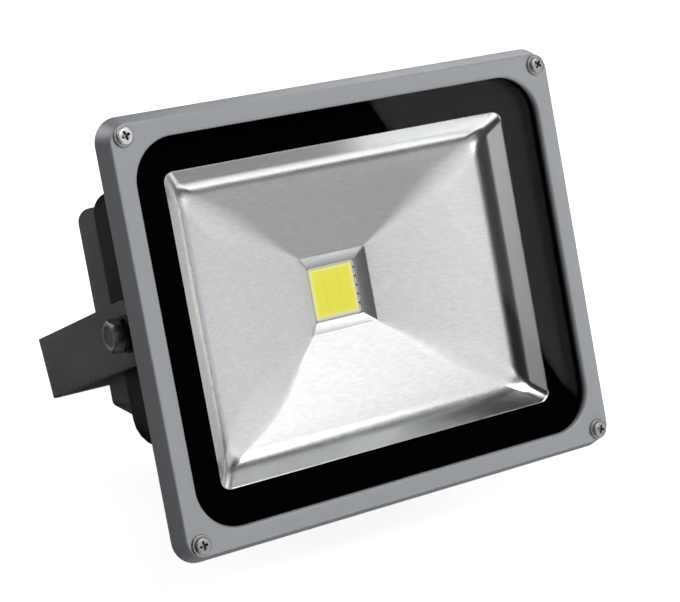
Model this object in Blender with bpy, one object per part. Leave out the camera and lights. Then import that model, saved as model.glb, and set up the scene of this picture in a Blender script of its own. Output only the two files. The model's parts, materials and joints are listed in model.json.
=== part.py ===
"""LED work light: a flat floodlight head on a U-shaped tilting bracket.

The head is modelled upright in its own frame: x to the right, y to the back, z up, with the
origin at the centre of the front face. It turns on two bolts in the bracket's legs. At rest the
light stands on a floor, leaning back on the lower edge of its front frame and on the bracket.
"""
import math

import bmesh
import bpy
import numpy as np
from mathutils import Matrix, Vector

MM = 0.001
FIT = 0.3 * MM

# Front frame: outline at its back edge, drafted side wall, and the opening over the glass
FRAME_WIDTH = 225.0 * MM
FRAME_HEIGHT = 185.0 * MM
FRAME_DEPTH = 8.5 * MM
FRAME_DRAFT = 3.5 * MM
FRAME_CORNER = 11.0 * MM
OPENING_WIDTH = 201.4 * MM
OPENING_HEIGHT = 162.4 * MM
OPENING_CORNER = 19.0 * MM
LIP_DEPTH = 2.6 * MM
FRAME_SCREW_X = 103.0 * MM
FRAME_SCREW_Z = 84.0 * MM
FRAME_SCREW_HEAD = 2.7 * MM

# Glass pane, held in a channel of silicone behind the frame's lip
GLASS_FRONT = 3.7 * MM
GLASS_THICKNESS = 4.0 * MM
GLASS_OVERLAP = 2.8 * MM

# Reflector: window, steep rim, four shallow faces and the collar round the light source
WINDOW_WIDTH = 170.6 * MM
WINDOW_HEIGHT = 133.2 * MM
KNEE_WIDTH = 150.0 * MM
KNEE_HEIGHT = 111.6 * MM
KNEE_DEPTH = 21.8 * MM
COLLAR_WIDTH = 34.4 * MM
COLLAR_DEPTH = 32.6 * MM
SHEET = 0.6 * MM
LIGHT_DEPTH = 35.3 * MM
LIGHT_RISE = 1.6 * MM
LIGHT_WIDTH = 24.2 * MM

# Heat sink body: front flange, side walls, plate that carries the light source, rear rim
FLANGE_FRONT = 8.8 * MM
FLANGE_BACK = 13.5 * MM
FLANGE_HALF_WIDTH = 108.5 * MM
FLANGE_HALF_HEIGHT = 88.5 * MM
BODY_HALF_WIDTH = 99.0 * MM
BODY_REAR_HALF_WIDTH = 97.2 * MM
BODY_REAR_TOP = 62.8 * MM
BODY_REAR_BOTTOM = -50.8 * MM
BODY_REAR = 57.5 * MM
BODY_WAIST = 40.0 * MM
PLATE_FRONT = 38.6 * MM
PLATE_BACK = 43.6 * MM
FIN_COUNT = 14
FIN_THICKNESS = 2.4 * MM
FIN_FIELD = 171.0 * MM

# Driver cover behind the body, with a crowned back
COVER_FRONT = 58.8 * MM
COVER_BACK = 87.6 * MM
COVER_CROWN = 2.4 * MM
COVER_HALF_WIDTH = 92.4 * MM
COVER_TOP = 57.0 * MM
COVER_BOTTOM = -41.6 * MM
COVER_WALL = 2.8 * MM
COVER_SCREWS = ((-82.0, 45.5), (82.0, 45.5), (-76.0, -28.0), (76.0, -28.0))

# Tilting bracket: a folded steel strap
PIVOT_Y = 31.0 * MM
PIVOT_Z = 4.0 * MM
STRAP_WIDTH = 28.0 * MM
STRAP_THICKNESS = 3.0 * MM
LEG_OUTSIDE = 104.0 * MM
LEG_LENGTH = 102.0 * MM
BEND_RADIUS = 5.0 * MM
LEG_SLOPE = math.radians(9.4)
BOLT_RADIUS = 4.0 * MM
PAD_FACE = 99.6 * MM

COLOURS = {
    "frame_paint": ((0.36, 0.38, 0.40), 0.45, 0.2),
    "body_paint": ((0.035, 0.034, 0.037), 0.5, 0.1),
    "cover_paint": ((0.05, 0.048, 0.052), 0.5, 0.1),
    "bracket_paint": ((0.04, 0.038, 0.042), 0.55, 0.1),
    "bright_steel": ((0.62, 0.62, 0.63), 0.25, 1.0),
    "dull_steel": ((0.30, 0.29, 0.28), 0.45, 1.0),
    "bare_aluminium": ((0.75, 0.76, 0.77), 0.35, 1.0),
    "clear_glass": ((0.02, 0.02, 0.02), 0.05, 0.0),
    "grey_silicone": ((0.10, 0.10, 0.10), 0.7, 0.0),
    "phosphor": ((0.80, 0.76, 0.10), 0.6, 0.0),
    "white_silicone": ((0.85, 0.84, 0.72), 0.5, 0.0),
    "black_nylon": ((0.02, 0.02, 0.02), 0.45, 0.0),
    "white_nylon": ((0.75, 0.75, 0.72), 0.45, 0.0),
    "red_lead": ((0.45, 0.03, 0.03), 0.5, 0.0),
    "black_lead": ((0.02, 0.02, 0.02), 0.5, 0.0),
}


def clear_scene():
    for item in list(bpy.data.objects):
        bpy.data.objects.remove(item, do_unlink=True)


def make_material(name):
    colour, roughness, metallic = COLOURS[name]
    material = bpy.data.materials.get(name) or bpy.data.materials.new(name)
    material.use_nodes = True
    shader = material.node_tree.nodes["Principled BSDF"]
    shader.inputs["Base Color"].default_value = (*colour, 1.0)
    shader.inputs["Roughness"].default_value = roughness
    shader.inputs["Metallic"].default_value = metallic
    return material


def empty(name, location, tilt):
    """A guide on the pivot line, turned by tilt about X."""
    guide = bpy.data.objects.new(name, None)
    guide.location = location
    guide.rotation_euler = (tilt, 0.0, 0.0)
    bpy.context.collection.objects.link(guide)
    return guide


def finish(bm, name, material=None, carrier=None, smooth=35.0):
    """Turns a bmesh into an object, shaded smooth, with its frame at the carrier's."""
    bmesh.ops.recalc_face_normals(bm, faces=bm.faces[:])
    mesh = bpy.data.meshes.new(name)
    bm.to_mesh(mesh)
    bm.free()
    mesh.shade_smooth()
    mesh.set_sharp_from_angle(angle=math.radians(smooth))
    item = bpy.data.objects.new(name, mesh)
    bpy.context.collection.objects.link(item)
    if material:
        mesh.materials.append(make_material(material))
    if carrier:
        item.parent = carrier
        item.location = carrier["shift"]
    return item


def tool(bm, name, carrier=None):
    """A shape that is only cut away from, or added to, another piece."""
    item = finish(bm, name, carrier=carrier)
    item.hide_render = True
    item.display_type = 'WIRE'
    return item


def combine(item, other, operation):
    step = item.modifiers.new(other.name, 'BOOLEAN')
    step.operation = operation
    step.solver = 'EXACT'
    step.object = other
    return item


def corner_arc(centre, radius, start, steps):
    angles = [start + math.pi / 2 * i / steps for i in range(steps + 1)]
    return [(centre[0] + radius * math.cos(a), centre[1] + radius * math.sin(a)) for a in angles]


def outline(half_width, low, high, radius, low_radius=None, steps=6, side=1):
    """A rounded rectangle in x and z, anticlockwise from its upper right corner.

    The lower corners may have a radius of their own, and side splits the two upright edges."""
    low_radius = radius if low_radius is None else low_radius
    points = corner_arc((half_width - radius, high - radius), radius, 0.0, steps)
    points += corner_arc((-half_width + radius, high - radius), radius, math.pi / 2, steps)
    top, bottom = high - radius, low + low_radius
    between = [top + (bottom - top) * i / side for i in range(1, side)]
    points += [(-half_width, z) for z in between]
    points += corner_arc((-half_width + low_radius, bottom), low_radius, math.pi, steps)
    points += corner_arc((half_width - low_radius, bottom), low_radius, 1.5 * math.pi, steps)
    points += [(half_width, z) for z in reversed(between)]
    return points


def centred(half_width, half_height, radius, rise=0.0, steps=6):
    return outline(half_width, rise - half_height, rise + half_height, radius, steps=steps)


def loop_verts(bm, points, y):
    return [bm.verts.new((x, y, z)) for x, z in points]


def bridge(bm, first, second):
    count = len(first)
    for i in range(count):
        j = (i + 1) % count
        bm.faces.new((first[i], first[j], second[j], second[i]))


def chain(sections, closed):
    """Skins a list of (points, y) sections of equal count.

    closed joins the last section to the first, as in a ring; otherwise both ends are capped."""
    bm = bmesh.new()
    loops = [loop_verts(bm, points, y) for points, y in sections]
    for first, second in zip(loops, loops[1:]):
        bridge(bm, first, second)
    if closed:
        bridge(bm, loops[-1], loops[0])
    else:
        bm.faces.new(loops[0])
        bm.faces.new(loops[-1])
    return bm


def turned(profile, axis, centre, segments=24):
    """A solid of revolution from (along, radius) pairs; a radius of 0 closes an end.

    axis is 'x' or 'y', and along is measured on that axis from 0."""
    bm = bmesh.new()
    rings = []
    for along, radius in profile:
        ring = []
        for i in range(1 if radius == 0.0 else segments):
            a = 2 * math.pi * i / segments
            across = (radius * math.cos(a), radius * math.sin(a))
            place = (along, *across) if axis == 'x' else (across[0], along, across[1])
            ring.append(bm.verts.new(Vector(place) + Vector(centre)))
        rings.append(ring)
    for first, second in zip(rings, rings[1:]):
        for i in range(segments):
            j = (i + 1) % segments
            quad = [first[i % len(first)], first[j % len(first)],
                    second[j % len(second)], second[i % len(second)]]
            unique = list(dict.fromkeys(quad))
            if len(unique) > 2:
                bm.faces.new(unique)
    if rings[0] is not rings[-1] and len(rings[0]) > 1 and len(rings[-1]) > 1:
        bm.faces.new(rings[0])
        bm.faces.new(rings[-1])
    return bm


def rod(low, high, radius, axis, centre, segments=24):
    return turned([(low, radius), (high, radius)], axis, centre, segments)


def prism(points, low, high, axis):
    """A polygon carried along an axis: (y, z) along 'x', (x, z) along 'y', (x, y) along 'z'."""
    bm = bmesh.new()
    place = {'x': lambda p, d: (d, *p), 'y': lambda p, d: (p[0], d, p[1]),
             'z': lambda p, d: (*p, d)}[axis]
    near = [bm.verts.new(place(p, low)) for p in points]
    far = [bm.verts.new(place(p, high)) for p in points]
    bm.faces.new(near)
    bm.faces.new(far)
    bridge(bm, near, far)
    return bm


def block(low, high):
    return prism([(low[0], low[1]), (high[0], low[1]), (high[0], high[1]), (low[0], high[1])],
                 low[2], high[2], 'z')


def merged(parts):
    """Several separate closed shapes in one mesh, for use as one tool."""
    whole = bmesh.new()
    for part in parts:
        mesh = bpy.data.meshes.new("part")
        part.to_mesh(mesh)
        part.free()
        whole.from_mesh(mesh)
        bpy.data.meshes.remove(mesh)
    return whole


def hexagon(across_flats, turn=0.0):
    radius = across_flats / math.sqrt(3.0)
    return [(radius * math.cos(turn + math.pi / 3 * i), radius * math.sin(turn + math.pi / 3 * i))
            for i in range(6)]


def corners(x, z):
    return {"top_left": (-x, z), "top_right": (x, z),
            "bottom_left": (-x, -z), "bottom_right": (x, -z)}


def front_frame(head):
    """The die-cast frame: a ring of sections round its lip, drafted wall and glass rebate."""
    steps = 8
    half_w, half_h = FRAME_WIDTH / 2, FRAME_HEIGHT / 2
    open_w, open_h = OPENING_WIDTH / 2, OPENING_HEIGHT / 2
    rebate = 4.5 * MM

    def outer(inset, y):
        radius = FRAME_CORNER - inset
        return centred(half_w - inset, half_h - inset, radius, steps=steps), y

    def inner(grow, y):
        return centred(open_w + grow, open_h + grow, OPENING_CORNER + grow, steps=steps), y

    sections = [
        outer(FRAME_DRAFT + 0.7 * MM, 0.0),
        outer(FRAME_DRAFT + 0.22 * MM, 0.2 * MM),
        outer(FRAME_DRAFT - 0.1 * MM, 0.7 * MM),
        outer(0.0, FRAME_DEPTH - 0.5 * MM),
        outer(0.3 * MM, FRAME_DEPTH),
        inner(rebate, FRAME_DEPTH),
        inner(rebate, LIP_DEPTH),
        inner(0.0, LIP_DEPTH),
        inner(0.15 * MM, 1.5 * MM),
        inner(0.9 * MM, 0.45 * MM),
        inner(2.4 * MM, 0.0),
    ]
    frame = finish(chain(sections, closed=True), "front_frame", "frame_paint", head)
    holes = [rod(-MM, FRAME_DEPTH + MM, 2.3 * MM, 'y', (x, 0.0, z), 16)
             for x, z in corners(FRAME_SCREW_X, FRAME_SCREW_Z).values()]
    return combine(frame, tool(merged(holes), "frame_screw_holes", head), 'DIFFERENCE')


def glass(head):
    half_w = OPENING_WIDTH / 2 + GLASS_OVERLAP
    half_h = OPENING_HEIGHT / 2 + GLASS_OVERLAP
    radius = OPENING_CORNER + GLASS_OVERLAP
    ease = 0.4 * MM
    back = GLASS_FRONT + GLASS_THICKNESS
    sections = [(centred(half_w - inset, half_h - inset, radius - inset, steps=8), y)
                for inset, y in ((ease, GLASS_FRONT), (0.0, GLASS_FRONT + ease),
                                 (0.0, back - ease), (ease, back))]
    finish(chain(sections, closed=False), "glass_pane", "clear_glass", head)


def glass_gasket(head):
    """A silicone channel round the pane's edge: front leg, outer wall and longer back leg."""
    back = GLASS_FRONT + GLASS_THICKNESS

    def ring(grow, y):
        radius = OPENING_CORNER + grow
        return centred(OPENING_WIDTH / 2 + grow, OPENING_HEIGHT / 2 + grow, radius, steps=8), y

    outside, inside = GLASS_OVERLAP + 1.4 * MM, GLASS_OVERLAP + FIT
    sections = [
        ring(0.9 * MM, LIP_DEPTH + 0.25 * MM),
        ring(outside, LIP_DEPTH + 0.25 * MM),
        ring(outside, back + 0.8 * MM),
        ring(-1.6 * MM, back + 0.8 * MM),
        ring(-1.6 * MM, back + 0.25 * MM),
        ring(inside, back + 0.25 * MM),
        ring(inside, GLASS_FRONT - 0.25 * MM),
        ring(0.9 * MM, GLASS_FRONT - 0.25 * MM),
    ]
    finish(chain(sections, closed=True), "glass_gasket", "grey_silicone", head)


def reflector(head):
    """Pressed aluminium sheet: the front skin is followed inwards, and the back skin outwards."""
    front = GLASS_FRONT + GLASS_THICKNESS + 0.25 * MM
    win_w, win_h = WINDOW_WIDTH / 2, WINDOW_HEIGHT / 2
    knee_w, knee_h = KNEE_WIDTH / 2, KNEE_HEIGHT / 2
    collar = COLLAR_WIDTH / 2
    hole = LIGHT_WIDTH / 2 + FIT
    flange_w, flange_h = 97.0 * MM, 78.4 * MM

    def ring(half_w, half_h, radius, y, rise=0.0):
        return centred(half_w, half_h, radius, rise, steps=6), y

    sections = [
        ring(flange_w, flange_h, 14 * MM, front),
        ring(win_w + 1.0 * MM, win_h + 1.0 * MM, 6.0 * MM, front),
        ring(win_w, win_h, 5.0 * MM, front + 0.35 * MM),
        ring(win_w - 0.7 * MM, win_h - 0.7 * MM, 5.0 * MM, front + 1.6 * MM),
        ring(knee_w + 1.6 * MM, knee_h + 1.8 * MM, 7.0 * MM, KNEE_DEPTH - 2.2 * MM),
        ring(knee_w, knee_h, 6.0 * MM, KNEE_DEPTH),
        ring(collar, collar, 0.9 * MM, COLLAR_DEPTH, LIGHT_RISE),
        ring(hole, hole, 0.6 * MM, LIGHT_DEPTH - FIT, LIGHT_RISE),
        ring(hole, hole, 0.6 * MM, LIGHT_DEPTH - FIT + SHEET, LIGHT_RISE),
        ring(collar, collar, 0.9 * MM, COLLAR_DEPTH + 1.2 * SHEET, LIGHT_RISE),
        ring(knee_w + 0.5 * SHEET, knee_h + 0.5 * SHEET, 6.2 * MM, KNEE_DEPTH + 1.1 * SHEET),
        ring(knee_w + 1.6 * MM + SHEET, knee_h + 1.8 * MM + SHEET, 7.5 * MM, KNEE_DEPTH - 1.9 * MM),
        ring(win_w - 0.7 * MM + SHEET, win_h - 0.7 * MM + SHEET, 5.6 * MM, front + 1.9 * MM),
        ring(win_w + 1.0 * MM, win_h + 1.0 * MM, 6.6 * MM, front + SHEET),
        ring(flange_w, flange_h, 14 * MM, front + SHEET),
    ]
    finish(chain(sections, closed=True), "reflector", "bare_aluminium", head, smooth=25.0)


def light_source(head):
    """The square chip-on-board emitter on its aluminium base, screwed down over a pad."""
    base = 24.0 * MM
    base_front = LIGHT_DEPTH + 0.9 * MM
    base_back = base_front + 1.2 * MM
    screw_at = 20.4 * MM
    places = {k: (x, z + LIGHT_RISE) for k, (x, z) in corners(screw_at, screw_at).items()}
    plate = finish(chain([(centred(base, base, 2 * MM, LIGHT_RISE, 3), base_front),
                          (centred(base, base, 2 * MM, LIGHT_RISE, 3), base_back)], False),
                   "led_base", "bare_aluminium", head)
    bores = [rod(base_front - MM, base_back + MM, 1.8 * MM, 'y', (x, 0, z), 12)
             for x, z in places.values()]
    combine(plate, tool(merged(bores), "led_base_bores", head), 'DIFFERENCE')

    pad = finish(chain([(centred(base, base, 2 * MM, LIGHT_RISE, 3), base_back + 0.25 * MM),
                        (centred(base, base, 2 * MM, LIGHT_RISE, 3), base_back + 0.85 * MM)], False),
                 "thermal_pad", "grey_silicone", head)
    bores = [rod(base_back, base_back + 1.5 * MM, 2.0 * MM, 'y', (x, 0, z), 12)
             for x, z in places.values()]
    combine(pad, tool(merged(bores), "thermal_pad_bores", head), 'DIFFERENCE')

    half = LIGHT_WIDTH / 2
    dam = [(centred(w, w, r, LIGHT_RISE, 4), y) for w, r, y in (
        (half, 1.2 * MM, base_front - 0.25 * MM), (half, 1.2 * MM, LIGHT_DEPTH + 0.15 * MM),
        (half - 0.25 * MM, 1.1 * MM, LIGHT_DEPTH), (half - 0.75 * MM, 1.0 * MM, LIGHT_DEPTH),
        (half - 1.0 * MM, 0.9 * MM, LIGHT_DEPTH + 0.15 * MM),
        (half - 1.0 * MM, 0.9 * MM, base_front - 0.25 * MM))]
    finish(chain(dam, closed=True), "led_dam", "white_silicone", head)
    inner = half - 1.0 * MM - 0.1 * MM
    fill = [(centred(w, w, 0.8 * MM, LIGHT_RISE, 4), y) for w, y in (
        (inner - 0.3 * MM, LIGHT_DEPTH + 0.2 * MM), (inner, LIGHT_DEPTH + 0.3 * MM),
        (inner, base_front - 0.25 * MM))]
    finish(chain(fill, closed=False), "led_phosphor", "phosphor", head)

    for corner, (x, z) in places.items():
        profile = [(base_front - 1.6 * MM, 0.0), (base_front - 1.6 * MM, 2.2 * MM),
                   (base_front - 1.2 * MM, 2.7 * MM), (base_front - 0.25 * MM, 2.7 * MM),
                   (base_front - 0.25 * MM, 1.5 * MM), (PLATE_BACK - 1.0 * MM, 1.5 * MM),
                   (PLATE_BACK - 0.6 * MM, 1.1 * MM), (PLATE_BACK - 0.6 * MM, 0.0)]
        finish(turned(profile, 'y', (x, 0, z), 12), "led_screw_" + corner, "bright_steel", head)
    return places


def fin_floor(y, upper):
    """Height of the groove floor between the fins: steep behind the flange, then level."""
    stations = (FLANGE_BACK, 26 * MM, 41 * MM, BODY_REAR + 2 * MM)
    heights = (76.5, 67.0, 58.4, 58.2) if upper else (-76.5, -62.4, -46.0, -44.0)
    return float(np.interp(y, stations, np.array(heights) * MM))


def heatsink_body(head, led_screws):
    """The die-cast body: optic chamber, plate and driver chamber in one skin, then its fins. It
    narrows from the flange to a waist, and is nearly straight from there to the rear."""
    rear_top, rear_bottom = BODY_REAR_TOP, BODY_REAR_BOTTOM
    ease = 0.9 * MM
    sections = [
        (outline(93.6 * MM, -42.0 * MM, 54.5 * MM, 6 * MM), PLATE_FRONT),
        (outline(94.4 * MM, -62.5 * MM, 63.5 * MM, 8 * MM), 24.0 * MM),
        (outline(95.2 * MM, -74.0 * MM, 74.0 * MM, 9 * MM), FLANGE_FRONT),
        (centred(FLANGE_HALF_WIDTH - 0.4 * MM, FLANGE_HALF_HEIGHT - 0.4 * MM, 5.6 * MM), FLANGE_FRONT),
        (centred(FLANGE_HALF_WIDTH, FLANGE_HALF_HEIGHT, 6.0 * MM), FLANGE_FRONT + 0.4 * MM),
        (centred(FLANGE_HALF_WIDTH, FLANGE_HALF_HEIGHT, 6.0 * MM), FLANGE_BACK - 0.4 * MM),
        (centred(FLANGE_HALF_WIDTH - 0.4 * MM, FLANGE_HALF_HEIGHT - 0.4 * MM, 5.6 * MM), FLANGE_BACK),
        (outline(BODY_HALF_WIDTH, -84 * MM, 84 * MM, 12 * MM), FLANGE_BACK),
        (outline(97.9 * MM, -53.0 * MM, 64.4 * MM, 9.6 * MM, 16.0 * MM), BODY_WAIST),
        (outline(BODY_REAR_HALF_WIDTH, rear_bottom, rear_top, 9 * MM, 16 * MM), BODY_REAR - ease),
        (outline(BODY_REAR_HALF_WIDTH - 0.35 * ease, rear_bottom + 0.35 * ease,
                 rear_top - 0.35 * ease, 8.7 * MM, 15.7 * MM), BODY_REAR - 0.35 * ease),
        (outline(BODY_REAR_HALF_WIDTH - ease, rear_bottom + ease, rear_top - ease,
                 8.2 * MM, 15.2 * MM), BODY_REAR),
        (outline(90.0 * MM, -39.0 * MM, 54.4 * MM, 6 * MM), BODY_REAR),
        (outline(89.6 * MM, -38.6 * MM, 54.0 * MM, 6 * MM), PLATE_BACK),
    ]
    body = finish(chain(sections, closed=False), "heatsink_body", "body_paint", head)

    # Bosses for the pivot bolts, the frame's screws, the cover's screws and the light source
    bosses = []
    for side in (-1, 1):
        low, high = sorted((side * 84.0 * MM, side * PAD_FACE))
        bosses.append(rod(low, high, 9.5 * MM, 'x', (0, PIVOT_Y, PIVOT_Z), 28))
        low, high = sorted((side * 95.0 * MM, side * PAD_FACE))
        bosses[-1] = merged([bosses[-1], rod(low, high, 13.5 * MM, 'x', (0, PIVOT_Y, PIVOT_Z), 32)])
    pads = tool(bosses[0], "pivot_boss_left", head)
    combine(body, pads, 'UNION')
    combine(body, tool(bosses[1], "pivot_boss_right", head), 'UNION')
    posts = [rod(FLANGE_BACK - 2 * MM, 16.2 * MM, 4.0 * MM, 'y', (x, 0, z), 20)
             for x, z in corners(FRAME_SCREW_X, FRAME_SCREW_Z).values()]
    posts += [rod(PLATE_BACK - 2 * MM, BODY_REAR - 0.2 * MM, 6.2 * MM, 'y', (x * MM, 0, z * MM), 20)
              for x, z in COVER_SCREWS]
    combine(body, tool(merged(posts), "screw_posts", head), 'UNION')

    # Grooves that leave the fins standing on the upper and lower slopes
    pitch = FIN_FIELD / FIN_COUNT
    grooves = []
    stations = [FLANGE_BACK + 0.6 * MM, 26 * MM, 41 * MM, BODY_REAR + 2 * MM]
    for upper in (True, False):
        floor = [(y, fin_floor(y, upper)) for y in stations]
        reach = 100 * MM if upper else -100 * MM
        profile = floor + [(stations[-1], reach), (stations[0], reach)]
        for i in range(FIN_COUNT):
            centre = -FIN_FIELD / 2 + pitch * (i + 0.5)
            half = (pitch - FIN_THICKNESS) / 2
            grooves.append(prism(profile, centre - half, centre + half, 'x'))
    combine(body, tool(merged(grooves), "fin_grooves", head), 'DIFFERENCE')

    # Threaded holes and the way through for the leads
    holes = []
    for side in (-1, 1):
        low, high = sorted((side * 86.0 * MM, side * 102.0 * MM))
        holes.append(rod(low, high, BOLT_RADIUS + FIT, 'x', (0, PIVOT_Y, PIVOT_Z), 24))
    for x, z in corners(FRAME_SCREW_X, FRAME_SCREW_Z).values():
        holes.append(rod(FLANGE_FRONT - 2 * MM, 15.4 * MM, 2.3 * MM, 'y', (x, 0, z), 16))
    for x, z in COVER_SCREWS:
        holes.append(rod(48 * MM, BODY_REAR + 2 * MM, 2.3 * MM, 'y', (x * MM, 0, z * MM), 16))
    for x, z in led_screws.values():
        holes.append(rod(PLATE_FRONT - MM, PLATE_BACK + MM, 1.8 * MM, 'y', (x, 0, z), 12))
    for x, z in driver_screw_places():
        holes.append(rod(PLATE_BACK - 3.5 * MM, PLATE_BACK + MM, 1.8 * MM, 'y', (x, 0, z), 12))
    holes.append(rod(PLATE_FRONT - MM, PLATE_BACK + MM, 4.4 * MM, 'y', lead_hole(), 20))
    combine(body, tool(merged(holes), "body_holes", head), 'DIFFERENCE')


def lead_hole():
    return (34.0 * MM, 0.0, LIGHT_RISE)


def driver_screw_places():
    return ((-66.0 * MM, 8.0 * MM), (66.0 * MM, 8.0 * MM))


def frame_screws(head):
    """Pan-head screws with a washer under the head, which stands proud of the frame."""
    top = -FRAME_SCREW_HEAD
    for corner, (x, z) in corners(FRAME_SCREW_X, FRAME_SCREW_Z).items():
        profile = [(top, 0.0), (top, 2.0 * MM), (top + 0.5 * MM, 3.0 * MM),
                   (top + 1.1 * MM, 3.3 * MM), (-1.05 * MM, 3.3 * MM), (-1.05 * MM, 4.1 * MM),
                   (-0.9 * MM, 4.3 * MM), (-0.25 * MM, 4.3 * MM), (-0.25 * MM, 2.0 * MM),
                   (14.4 * MM, 2.0 * MM), (15.1 * MM, 1.4 * MM), (15.1 * MM, 0.0)]
        screw = finish(turned(profile, 'y', (x, 0, z), 20), "frame_screw_" + corner,
                       "bright_steel", head)
        arm, reach = 0.5 * MM, 1.7 * MM
        cross = [(-arm, -reach), (arm, -reach), (arm, -arm), (reach, -arm), (reach, arm), (arm, arm),
                 (arm, reach), (-arm, reach), (-arm, arm), (-reach, arm), (-reach, -arm), (-arm, -arm)]
        recess = prism([(x + a, z + b) for a, b in cross], top - MM, top + 1.2 * MM, 'y')
        combine(screw, tool(recess, "cross_recess_" + corner, head), 'DIFFERENCE')


def cover_outline(grow, side=8):
    """The cover's outline: round upper corners and slanting lower ones, grown all round."""
    half, high, low = COVER_HALF_WIDTH + grow, COVER_TOP + grow, COVER_BOTTOM - grow
    radius = max(6 * MM + grow, 2 * MM)
    slant_x, slant_z, steps = 14 * MM + grow, 11.4 * MM + grow, 6
    points = corner_arc((half - radius, high - radius), radius, 0.0, steps)
    points += corner_arc((-half + radius, high - radius), radius, math.pi / 2, steps)
    top, bottom = high - radius, low + slant_z
    between = [top + (bottom - top) * i / side for i in range(1, side)]
    points += [(-half, z) for z in between]
    bend = 0.16
    shares = [(0.0, 0.0, -bend), (0.0, 0.0, 0.0), (bend * 0.6, bend * 0.6, 0.0), (0.5, 0.5, 0.0),
              (1 - bend * 0.6, 1 - bend * 0.6, 0.0), (1.0, 1.0, 0.0)]
    slant = [(-half + slant_x * a, bottom - slant_z * (b + c)) for a, b, c in shares]
    points += slant
    points += [(-x, z) for x, z in reversed(slant)]
    points += [(half, z) for z in reversed(between)]
    return points


def crown(z):
    """How far the cover's back bulges at height z: a shallow arch, highest in the middle."""
    middle, reach = (COVER_TOP + COVER_BOTTOM) / 2, (COVER_TOP - COVER_BOTTOM) / 2
    return COVER_CROWN * (1.0 - min(1.0, abs(z - middle) / reach) ** 2)


def crowned_cap(bm, loop):
    """Closes a loop that mirrors in x with strips from side to side, so that the arch stays."""
    def height(vert):
        return round(vert.co.z, 7)

    left = sorted((v for v in loop if v.co.x < 0), key=height)
    right = sorted((v for v in loop if v.co.x > 0), key=height)
    for i in range(len(left) - 1):
        a, b, c, d = left[i], right[i], right[i + 1], left[i + 1]
        bm.faces.new((a, b, c, d))


def driver_cover(head):
    """The deep cover: drafted walls, eased rear edge, crowned back, four sunk screw columns."""
    inside = -COVER_WALL
    bm = bmesh.new()
    plan = [(inside + 0.5 * MM, COVER_FRONT, 0), (0.8 * MM, COVER_FRONT, 0),
            (0.0, COVER_BACK - 2.0 * MM, 1), (-0.45 * MM, COVER_BACK - 0.75 * MM, 1),
            (-1.9 * MM, COVER_BACK, 1)]
    loops = []
    for grow, y, crowned in plan:
        points = cover_outline(grow)
        loops.append([bm.verts.new((x, y + crowned * crown(z), z)) for x, z in points])
    floor = [bm.verts.new((x, COVER_BACK - COVER_WALL + crown(z), z))
             for x, z in cover_outline(inside - 0.4 * MM)]
    for first, second in zip(loops, loops[1:]):
        bridge(bm, first, second)
    bridge(bm, floor, loops[0])
    crowned_cap(bm, loops[-1])
    crowned_cap(bm, floor)
    cover = finish(bm, "driver_cover", "cover_paint", head)

    columns = [rod(COVER_FRONT + 0.4 * MM, COVER_BACK - 1.5 * MM, 6.6 * MM, 'y',
                   (x * MM, 0, z * MM), 20) for x, z in COVER_SCREWS]
    gx, gz = gland_place()
    columns.append(rod(COVER_BACK - 1.5 * MM, gland_seat() - FIT, 13.5 * MM, 'y', (gx, 0, gz), 40))
    combine(cover, tool(merged(columns), "cover_columns", head), 'UNION')
    seat = 70.0 * MM
    holes = []
    for x, z in COVER_SCREWS:
        stepped = [(COVER_FRONT - MM, 2.3 * MM), (seat, 2.3 * MM), (seat, 4.4 * MM),
                   (COVER_BACK + 6 * MM, 4.4 * MM)]
        holes.append(turned(stepped, 'y', (x * MM, 0, z * MM), 20))
    holes.append(rod(COVER_BACK - 8 * MM, COVER_BACK + 8 * MM, 8.3 * MM, 'y', (gx, 0, gz), 32))
    combine(cover, tool(merged(holes), "cover_holes", head), 'DIFFERENCE')
    for i, (x, z) in enumerate(COVER_SCREWS):
        profile = [(seat - 2.7 * MM + 5.7 * MM, 0.0), (seat + 3.0 * MM, 2.4 * MM),
                   (seat + 2.5 * MM, 3.5 * MM), (seat + FIT, 3.5 * MM), (seat + FIT, 2.0 * MM),
                   (49.5 * MM, 2.0 * MM), (48.8 * MM, 1.4 * MM), (48.8 * MM, 0.0)]
        name = "cover_screw_" + ("top_left", "top_right", "bottom_left", "bottom_right")[i]
        finish(turned(profile, 'y', (x * MM, 0, z * MM), 16), name, "bright_steel", head)

    def seal(grow, y):
        return cover_outline(grow), y
    gasket_front, gasket_back = BODY_REAR + FIT, COVER_FRONT - FIT
    finish(chain([seal(0.2 * MM, gasket_front), seal(0.2 * MM, gasket_back),
                  seal(-2.4 * MM, gasket_back), seal(-2.4 * MM, gasket_front)], closed=True),
           "cover_gasket", "grey_silicone", head)


def gland_place():
    return 0.0, -18.0 * MM


def gland_seat():
    """Where the gland's flange rests: just clear of a level round pad on the arched back."""
    return COVER_BACK + 3.2 * MM + FIT


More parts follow.
